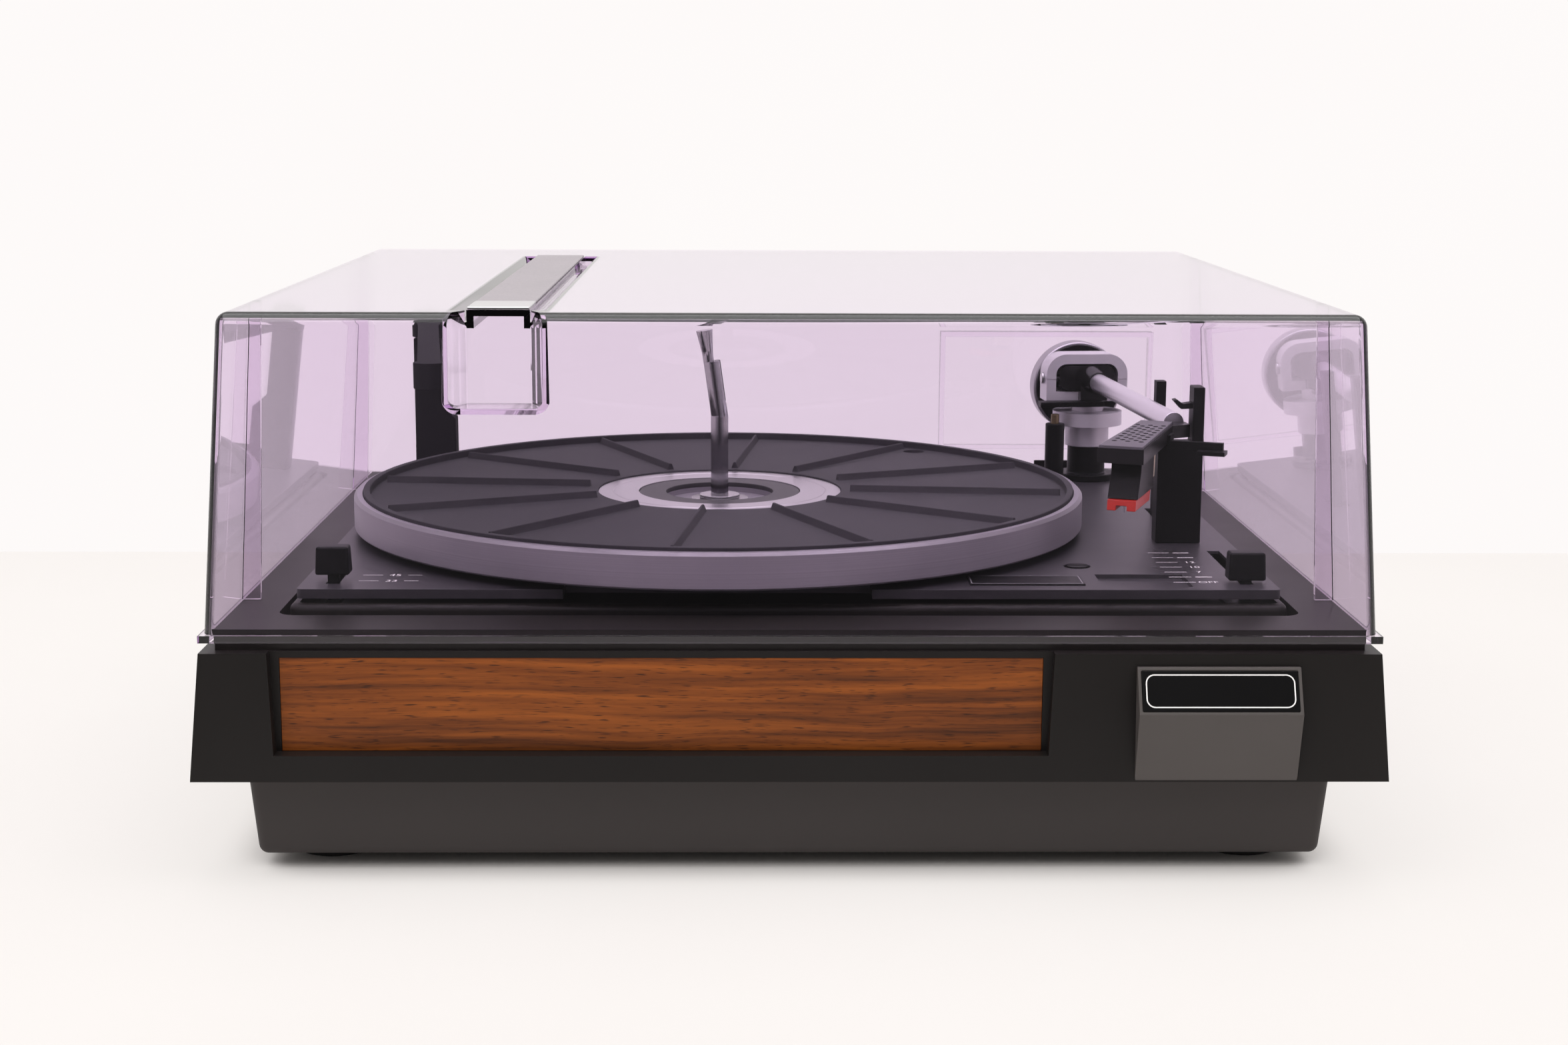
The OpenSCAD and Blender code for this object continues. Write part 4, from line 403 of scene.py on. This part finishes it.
# Deck: a pressed steel plate in charcoal paint, floating on four springs in the plinth's recess.
# The speed and program marks are screen printed beside their levers.
deck_paint = moulded_plastic("charcoal_stove_enamel", "#29262a", "#2e2b30", 0.4, 0.4, 0.003)
eased("unit_plate", deck_paint, 0.35)
deck_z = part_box("label_plate")[0].z
FRONT = -0.172


def deck_text(name, words, x_mm, y_mm, size_mm):
    """Printed figures lying on the deck, by their middle, in millimetres from the front edge."""
    curve = bpy.data.curves.new(name, "FONT")
    curve.body = words
    curve.size = size_mm / 1000
    curve.align_x, curve.align_y = "CENTER", "CENTER"
    text = bpy.data.objects.new(name, curve)
    bpy.context.scene.collection.objects.link(text)
    mesh = bpy.data.meshes.new_from_object(text.evaluated_get(bpy.context.evaluated_depsgraph_get()))
    bpy.data.objects.remove(text)
    mesh.transform(Matrix.Translation((x_mm / 1000, y_mm / 1000 + FRONT, deck_z + PRINT_LIFT)))
    mesh.materials.clear()
    mesh.materials.append(white_ink)
    obj = bpy.data.objects.new(name, mesh)
    bpy.context.scene.collection.objects.link(obj)
    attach(obj, body_of["unit_plate"])


def deck_lines(name, lines):
    """Printed strips from x0 to x1 at y, all in millimetres."""
    verts, faces = [], []
    for x0, x1, y, thick in lines:
        first = len(verts)
        for x, s in ((x0, -1), (x1, -1), (x1, 1), (x0, 1)):
            verts.append((x / 1000, (y + s * thick / 2) / 1000 + FRONT, deck_z + PRINT_LIFT))
        faces.append(tuple(range(first, first + 4)))
    obj = mesh_object(name, verts, faces, white_ink)
    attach(obj, body_of["unit_plate"])


THIN, THICK = 0.5, 0.9
speed_rows = [(69.0, "45"), (59.0, "33")]
for y, words in speed_rows:
    deck_text("speed_%s_print" % words, words, -140.5, y, 4.4)
deck_lines("speed_lines_print", [(x0, x1, y, THIN) for y, words in speed_rows
                                 for x0, x1 in ((-152, -145), (-136, -131))])
program_rows = [(58, "OFF"), (67, ""), (76, "7"), (85, "10"), (94, "12"), (103, ""), (112, "")]
for y, words in program_rows:
    if words:
        deck_text("program_%s_print" % words.lower(), words, 148.5, y, 4.2)
deck_lines("program_lines_print", [(136, 144, y, THIN) for y, words in program_rows]
           + [(145.5, 151.5, y, THICK) for y, words in program_rows if not words])

# Deck fittings: a bare black foil plate with a grey frame, two transit screws with wide slotted
# heads, and four springs, each wound from wire between the ledge and the plate.
label_foil = moulded_plastic("black_printed_foil", "#0d0c0e", "#131214", 0.35, 0.4, 0.002, specular=0.2)
eased("label_plate", label_foil, 0.1)
low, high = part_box("label_plate")
middle = (low + high) / 2
inset, border, corner = 0.0006, 0.0004, 0.0006
half_x, half_y = (high.x - low.x) / 2 - inset, (high.y - low.y) / 2 - inset
ring = printed_frame("label_frame_print", rounded_outline(half_x, half_y, corner),
                     rounded_outline(half_x - border, half_y - border, corner - border),
                     Vector((middle.x, middle.y, high.z)), Vector((1, 0, 0)), Vector((0, 1, 0)), Vector((0, 0, 1)),
                     grey_ink)
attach(ring, body_of["label_plate"])
black_oxide = moulded_plastic("black_oxide_steel", "#0c0b0d", "#131215", 0.45, 0.6, 0.01, specular=0.15)
eased("transit_screws", black_oxide, 0.4)
spring_steel = bare_metal("spring_steel", "#8f8e90", "#b4b3b5", 0.28, 0.5, (1, 1, 1))


def group(name, **sockets):
    """A geometry node tree with named inputs, and the values to set on its modifier."""
    tree = bpy.data.node_groups.new(name, "GeometryNodeTree")
    tree.interface.new_socket("Geometry", in_out="INPUT", socket_type="NodeSocketGeometry")
    tree.interface.new_socket("Geometry", in_out="OUTPUT", socket_type="NodeSocketGeometry")
    values = {}
    for key, value in sockets.items():
        kind = "NodeSocketInt" if isinstance(value, int) else "NodeSocketFloat"
        values[tree.interface.new_socket(key, in_out="INPUT", socket_type=kind).identifier] = value
    return tree, tree.nodes.new("NodeGroupInput").outputs, values


def grown(obj, tree, values, shape, mat):
    """Ends a tree in realized, coloured geometry, runs it on an object and keeps the plain mesh."""
    real = add(tree, "GeometryNodeRealizeInstances", {0: shape})
    coat = add(tree, "GeometryNodeSetMaterial", {"Geometry": real.outputs[0], "Material": mat})
    tree.links.new(coat.outputs[0], tree.nodes.new("NodeGroupOutput").inputs[0])
    run = obj.modifiers.new(tree.name, "NODES")
    run.node_group = tree
    for key, value in values.items():
        run[key] = value
    return plain_mesh(obj)


def loose_middles(node):
    """Middle of every loose part of a solid."""
    bm = bmesh.new()
    bm.from_mesh(frame["nodes"][node].data)
    bmesh.ops.remove_doubles(bm, verts=bm.verts, dist=WELD)
    left, middles = set(bm.verts), []
    while left:
        part, edge = [], [left.pop()]
        while edge:
            vert = edge.pop()
            part.append(vert.co.copy())
            near = {e.other_vert(vert) for e in vert.link_edges} & left
            left -= near
            edge.extend(near)
        middles.append(Vector([(min(c[k] for c in part) + max(c[k] for c in part)) / 2 for k in range(3)]))
    bm.free()
    return sorted(middles, key=tuple)


WIRE = 0.0006
low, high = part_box("suspension_springs")
tree, given, values = group("coil_spring", coil_radius=0.0044, wire_radius=WIRE, height=high.z - low.z - 2 * WIRE,
                            coils=5.0)
spots = [(m.x, m.y, low.z + WIRE) for m in loose_middles("suspension_springs")]
springs = mesh_object("suspension_coils", spots, [])
coil = add(tree, "GeometryNodeCurveSpiral", {
    "Resolution": 20, "Rotations": given["coils"], "Start Radius": given["coil_radius"],
    "End Radius": given["coil_radius"], "Height": given["height"]})
wire = add(tree, "GeometryNodeCurvePrimitiveCircle", {"Resolution": 8, "Radius": given["wire_radius"]})
body = add(tree, "GeometryNodeCurveToMesh", {"Curve": coil.outputs[0], "Profile Curve": wire.outputs[0],
                                             "Fill Caps": True})
placed = add(tree, "GeometryNodeInstanceOnPoints", {"Points": given["Geometry"], "Instance": body.outputs[0]})
grown(springs, tree, values, placed.outputs[0], spring_steel)
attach(springs, body_of["suspension_springs"])
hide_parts("suspension_springs")

# Drive: a shaded-pole motor on three rubber bushes, a brass step pulley, the main bearing with its
# thrust race and clip, and the nylon gear that runs the changing cycle.
eased("motor_body", bare_metal("dull_zinc", "#6f7072", "#858688", 0.5, 1.0, (1, 1, 1)), 0.8)
brass = bare_metal("turned_brass", "#b08a45", "#c9a55d", 0.25, 0.4, (0.1, 0.1, 1))
eased("motor_pulley", brass, 0.25)
nylon = moulded_plastic("natural_nylon", "#d3ccb8", "#ddd7c6", 0.45, 0.6, 0.005)
eased("cycle_gear", nylon, 0.2)
turned_steel = bare_metal("turned_steel", "#a5a4a6", "#c4c3c6", 0.24, 0.5, (0.1, 0.1, 1))
for node, width in (("bearing_tube", 0.2), ("thrust_race", 0.15), ("retaining_clip", 0.12)):
    eased(node, turned_steel, width)
for node in ("speed_lever", "program_lever"):
    eased(node, black_oxide, 0.25)

# Platter: a zinc pressing with a deep satin rim, lacquered grey, and a bright turned chamfer.
# Fine lines run round it from the lathe.
axis = (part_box("platter")[0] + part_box("platter")[1]) / 2


def turned_metal(name, colour, second, rough, pitch_mm, metallic):
    """Metal turned about the platter's axis: fine rings by radius and height."""
    mat, tree = blank(name)
    where = add(tree, "ShaderNodeTexCoord").outputs["Object"]
    local = add(tree, "ShaderNodeVectorMath", {0: where, 1: (axis.x, axis.y, 0)}, operation="SUBTRACT").outputs[0]
    split = add(tree, "ShaderNodeSeparateXYZ", {0: local})
    flat = add(tree, "ShaderNodeCombineXYZ", {0: split.outputs[0], 1: split.outputs[1]}).outputs[0]
    radius = add(tree, "ShaderNodeVectorMath", {0: flat}, operation="LENGTH").outputs["Value"]
    rings = add(tree, "ShaderNodeCombineXYZ", {0: radius, 1: split.outputs[2]}).outputs[0]
    line = add(tree, "ShaderNodeTexNoise", {"Vector": rings, "Scale": 1000 / pitch_mm, "Detail": 3.0}).outputs[0]
    cloud = add(tree, "ShaderNodeTexNoise", {"Vector": where, "Scale": 18.0, "Detail": 4.0}).outputs[0]
    mixed = add(tree, "ShaderNodeMath", {0: line, 1: cloud}, operation="MULTIPLY").outputs[0]
    share = add(tree, "ShaderNodeMapRange", {"Value": mixed, "From Min": 0.1, "From Max": 0.42}).outputs[0]
    tone = add(tree, "ShaderNodeMix", {0: share, 6: lin(colour), 7: lin(second)}, data_type="RGBA")
    gloss = add(tree, "ShaderNodeMapRange", {"Value": line, "To Min": rough - 0.05, "To Max": rough + 0.05})
    shader = add(tree, "ShaderNodeBsdfPrincipled", {
        "Base Color": tone.outputs[2], "Roughness": gloss.outputs[0], "Metallic": metallic})
    add(tree, "ShaderNodeOutputMaterial", {"Surface": shader.outputs[0]})
    return mat


platter_lacquer = turned_metal("lacquered_zinc", "#857f88", "#938d96", 0.4, 0.5, 0.5)
platter = eased("platter", platter_lacquer, 0.3)
platter.data.materials.append(turned_metal("bright_turned_edge", "#7d797f", "#8b878d", 0.38, 0.4, 0.6))
rim_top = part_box("platter")[1].z
RIM_EDGE = 0.0014
for face in platter.data.polygons:
    if face.center.z > rim_top - RIM_EDGE and 0.3 < face.normal.z < 0.95:
        face.material_index = 1

# Mat: moulded grey-black rubber with a raised rim and twelve tent-shaped ribs that carry the record.
# Its surface is a fine stipple.
mat_rubber = moulded_plastic("stippled_rubber", "#2b282d", "#333036", 0.68, 0.7, 0.03, specular=0.33)
eased("platter_mat", mat_rubber, 0.3, merge=False)

# Middle: a polished trim ring with a scribed circle, a black plastic ring inside it, and the sunken
# hub that the clip holds.
bright_ring = turned_metal("polished_aluminium", "#b9b6bb", "#cfccd1", 0.3, 0.4, 1.0)
eased("trim_ring", bright_ring, 0.2)
eased("hub_ring", moulded_plastic("black_abs_ring", "#2b292c", "#312f33", 0.5, 0.5, 0.006), 0.3)

# Changer spindle: a chromed steel rod with a bend, a shelf for the records and a flared cap. The
# pusher lies in its slot and is dark hardened steel.
chrome = bare_metal("chromed_steel", "#a5a2a8", "#b3b0b6", 0.12, 2.0, (1, 1, 1))
eased("changer_spindle", chrome, 0.25)
eased("spindle_pusher", moulded_plastic("hardened_steel", "#26242a", "#302e34", 0.35, 0.4, 0.01), 0.2)

# Overarm: a black moulded arm on a square post at the back left, which steadies the stack of
# records. Its matt surface shows hardly any gloss.
black_abs = moulded_plastic("black_abs", "#09080a", "#0d0c0f", 0.42, 0.5, 0.004, specular=0.15)
matt_black_abs = moulded_plastic("matt_black_abs", "#222024", "#28262a", 0.75, 0.6, 0.02, specular=0.1)
eased("overarm_post", matt_black_abs, 0.6)
eased("overarm", matt_black_abs, 0.6)

# Tonearm bearing: a black base, a silver pillar, and a die-cast yoke whose ring holds the pivots.
# The castings are sprayed silver, with a seam at the height of the pivots.
silver_paint, tree = blank("silver_sprayed_casting")
where = add(tree, "ShaderNodeTexCoord").outputs["Object"]
flake = add(tree, "ShaderNodeTexNoise", {"Vector": where, "Scale": 2600.0, "Detail": 1.0}).outputs[0]
cloud = add(tree, "ShaderNodeTexNoise", {"Vector": where, "Scale": 60.0, "Detail": 4.0}).outputs[0]
tone = add(tree, "ShaderNodeMix", {0: cloud, 6: lin("#c2bec5"), 7: lin("#d0ccd3")}, data_type="RGBA").outputs[2]
gloss = add(tree, "ShaderNodeMapRange", {"Value": flake, "To Min": 0.3, "To Max": 0.46}).outputs[0]
shader = add(tree, "ShaderNodeBsdfPrincipled", {"Base Color": tone, "Roughness": gloss, "Metallic": 0.55})
add(tree, "ShaderNodeOutputMaterial", {"Surface": shader.outputs[0]})
eased("arm_base", black_abs, 0.5)
eased("arm_pillar", silver_paint, 0.4)
eased("arm_yoke", silver_paint, 1.0, segments=3)
eased("pivot_screws", turned_steel, 0.25)

# Arm: a black socket in the yoke, a polished aluminium tube, and a turned weight with a black face
# on the rod behind.
socket_gloss = moulded_plastic("gloss_black_casting", "#0c0b0d", "#111012", 0.16, 0.5, 0.002)
eased("arm_socket", socket_gloss, 0.9, segments=3)
arm_alloy = bare_metal("drawn_aluminium", "#e6e3ea", "#edeaf1", 0.3, 0.12, (1, 0.03, 1))
eased("arm_tube", arm_alloy, 0.2)
eased("counterweight", bare_metal("turned_weight", "#a5a2a8", "#bdbac0", 0.34, 0.5, (1, 1, 1)), 0.9)
eased("counterweight_cap", black_abs, 0.5)
eased("lift_plate", black_abs, 0.35)

# Headshell: a black moulding with a perforated sheet on top, a finger lift on its side, and a
# moving-magnet cartridge on a cream bracket, with a red stylus holder.
eased("headshell", moulded_plastic("satin_black_abs", "#0a090b", "#0e0d10", 0.3, 0.5, 0.004, specular=0.25), 0.5)
eased("finger_lift", black_abs, 0.4)
sheet_metal = moulded_plastic("grey_painted_sheet", "#545157", "#5d5a60", 0.5, 0.4, 0.004, specular=0.3)
# Painted shade: the walls of the drilled holes are near black, standing in for the shade inside the holes.
painted_hole_shade = moulded_plastic("painted_hole_shade", "#050505", "#080808", 0.9, 0.5, 0.01)
grille = eased("headshell_grille", sheet_metal, 0.15)
sheet = frame["nodes"]["headshell_grille"].data
n = max((f for f in sheet.polygons if f.normal.z > 0.9), key=lambda f: f.area).normal.copy()
top = max(v.co.dot(n) for v in sheet.vertices)
corners = sorted({v.co.to_tuple(6) for v in sheet.vertices if v.co.dot(n) > top - HAIR}, key=lambda c: c[1])
front, back = ((Vector(a) + Vector(b)) / 2 for a, b in (corners[:2], corners[-2:]))
along = (back - front).normalized()
sheet_w = (Vector(corners[0]) - Vector(corners[1])).length
tree, given, values = group("perforations", hole_radius=0.064 * sheet_w, columns=3, rows=8,
                            pitch_across=0.31 * sheet_w, pitch_along=0.09 * (back - front).length, depth=0.003)
drills = add(tree, "GeometryNodeJoinGeometry")
for fewer in (0.0, 1.0):
    counts, spans = [], []
    for many, pitch in (("columns", "pitch_across"), ("rows", "pitch_along")):
        counts.append(add(tree, "ShaderNodeMath", {0: given[many], 1: fewer}, operation="SUBTRACT").outputs[0])
        gaps = add(tree, "ShaderNodeMath", {0: counts[-1], 1: 1.0}, operation="SUBTRACT").outputs[0]
        spans.append(add(tree, "ShaderNodeMath", {0: gaps, 1: given[pitch]}, operation="MULTIPLY").outputs[0])
    grid = add(tree, "GeometryNodeMeshGrid", {"Size X": spans[0], "Size Y": spans[1],
                                              "Vertices X": counts[0], "Vertices Y": counts[1]})
    drill = add(tree, "GeometryNodeMeshCylinder", {"Vertices": 14, "Radius": given["hole_radius"],
                                                   "Depth": given["depth"]})
    holes = add(tree, "GeometryNodeInstanceOnPoints", {"Points": grid.outputs[0], "Instance": drill.outputs[0]})
    tree.links.new(holes.outputs[0], drills.inputs[0])
tool = mesh_object("drill_tool", [(0, 0, 0)], [])
grown(tool, tree, values, drills.outputs[0], painted_hole_shade)
place = Matrix((along.cross(n), along, n)).transposed().to_4x4()
tool.data.transform(Matrix.Translation((front + back) / 2) @ place)
cutter = grille.modifiers.new("perforate", "BOOLEAN")
cutter.operation = "DIFFERENCE"
cutter.solver = "EXACT"
cutter.material_mode = "TRANSFER"
cutter.object = tool
plain_mesh(grille)
bpy.data.objects.remove(tool)
for face in grille.data.polygons:
    face.use_smooth = False
eased("cartridge_bracket", moulded_plastic("cream_plastic", "#cfc0a4", "#d9ccb4", 0.45, 0.4, 0.004), 0.3)
cartridge_black = moulded_plastic("gloss_black_plastic", "#0b0a0c", "#100f11", 0.3, 0.3, 0.004, specular=0.15)
eased("cartridge_body", cartridge_black, 0.3)
eased("stylus_holder", moulded_plastic("red_plastic", "#b8241a", "#c42c20", 0.3, 0.4, 0.01), 0.3)
eased("stylus_tip", arm_alloy, 0.03)

# Rest and cueing: a black post with a clip for the parked arm, and the lift's post with its brass
# pin, worked by a lever at the right.
for node, width in (("arm_rest", 0.5), ("arm_clip", 0.35), ("cue_post", 0.4), ("cue_lever", 0.7)):
    eased(node, black_abs, width)
eased("cue_pin", bare_metal("dull_brass", "#7f7058", "#8d7d63", 0.4, 0.5, (1, 1, 0.1)), 0.4)

# Knobs: two knobs in black ABS, pushed onto the upright ends of the speed and program levers.
# Their edges are well rounded by the mould.
for node in ("speed_knob", "program_knob"):
    eased(node, black_abs, 0.9, segments=3)

# Dust cover: clear acrylic with a violet grey tint, moulded in one piece, open underneath. The tint
# lies in the wall, so edges and corners look darker; lamps reach through to the deck.
acrylic, tree = blank("tinted_acrylic")
glass = add(tree, "ShaderNodeBsdfPrincipled", {
    "Base Color": lin("#f9f2fa"), "Roughness": 0.015, "IOR": 1.49, "Transmission Weight": 1.0})
clear = add(tree, "ShaderNodeBsdfTransparent", {"Color": lin("#f6f6f6")})
path = add(tree, "ShaderNodeLightPath").outputs
mixed = add(tree, "ShaderNodeMixShader", {
    0: path["Is Shadow Ray"], 1: glass.outputs[0], 2: clear.outputs[0]})
inside = add(tree, "ShaderNodeVolumeAbsorption", {"Color": lin("#d398e3"), "Density": 25.0})
add(tree, "ShaderNodeOutputMaterial", {"Surface": mixed.outputs[0], "Volume": inside.outputs[0]})
cover_low, cover_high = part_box("dust_cover")
COVER_ROUND_MM = 4.0
FOOT_CORNER = 0.002
WALL_LEAN = 0.009


def cover_outline(e):
    """The four upright outer corners of the cover and the outline of its top. The walls lean in, so
    the top's outline lies a little inside the foot's."""
    a, b = (v.co for v in e.verts)
    if not e.is_convex or e.calc_face_angle() < SHARP_EDGE:
        return False
    if abs(a.z - b.z) > 0.8 * (cover_high.z - cover_low.z):
        return max(abs(a.x), abs(b.x)) > cover_high.x - FOOT_CORNER
    at_side = min(abs(a.x), abs(b.x)) > cover_high.x - WALL_LEAN
    at_front = max(a.y, b.y) < cover_low.y + WALL_LEAN
    at_back = min(a.y, b.y) > cover_high.y - WALL_LEAN
    return min(a.z, b.z) > cover_high.z - HAIR and (at_side or at_front or at_back)


eased("dust_cover", acrylic, 0.9, segments=3, angle=32, round_first=(cover_outline, COVER_ROUND_MM))

# Cover strip: a band of grey grained vinyl stuck along the land between the two grooves, ended at
# the front by a bare bright plate.
vinyl, tree = blank("grained_vinyl")
where = add(tree, "ShaderNodeTexCoord").outputs["Object"]
cells = add(tree, "ShaderNodeTexVoronoi", {"Vector": where, "Scale": 900.0}, feature="DISTANCE_TO_EDGE").outputs[0]
cloud = add(tree, "ShaderNodeTexNoise", {"Vector": where, "Scale": 50.0, "Detail": 4.0}).outputs[0]
tone = add(tree, "ShaderNodeMix", {0: cloud, 6: lin("#827a80"), 7: lin("#8f868c")}, data_type="RGBA").outputs[2]
relief = add(tree, "ShaderNodeBump", {"Height": cells, "Strength": 0.7, "Distance": 0.0003}).outputs[0]
shader = add(tree, "ShaderNodeBsdfPrincipled", {"Base Color": tone, "Roughness": 0.36, "Normal": relief})
add(tree, "ShaderNodeOutputMaterial", {"Surface": shader.outputs[0]})
eased("cover_strip", vinyl, 0.3)
eased("strip_end_plate", bare_metal("bright_plate", "#c5c3c6", "#dad8db", 0.2, 0.4, (0.05, 1, 1)), 0.3)

# Hinges: two black moulded leaf hinges behind the cover, each turning on a steel pin. The bases are
# fixed to the plinth's back, the leaves to the cover.
for node in ("hinge_bases", "hinge_leaves"):
    eased(node, black_abs, 0.4)
eased("hinge_pins", turned_steel, 0.2)

low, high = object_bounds()
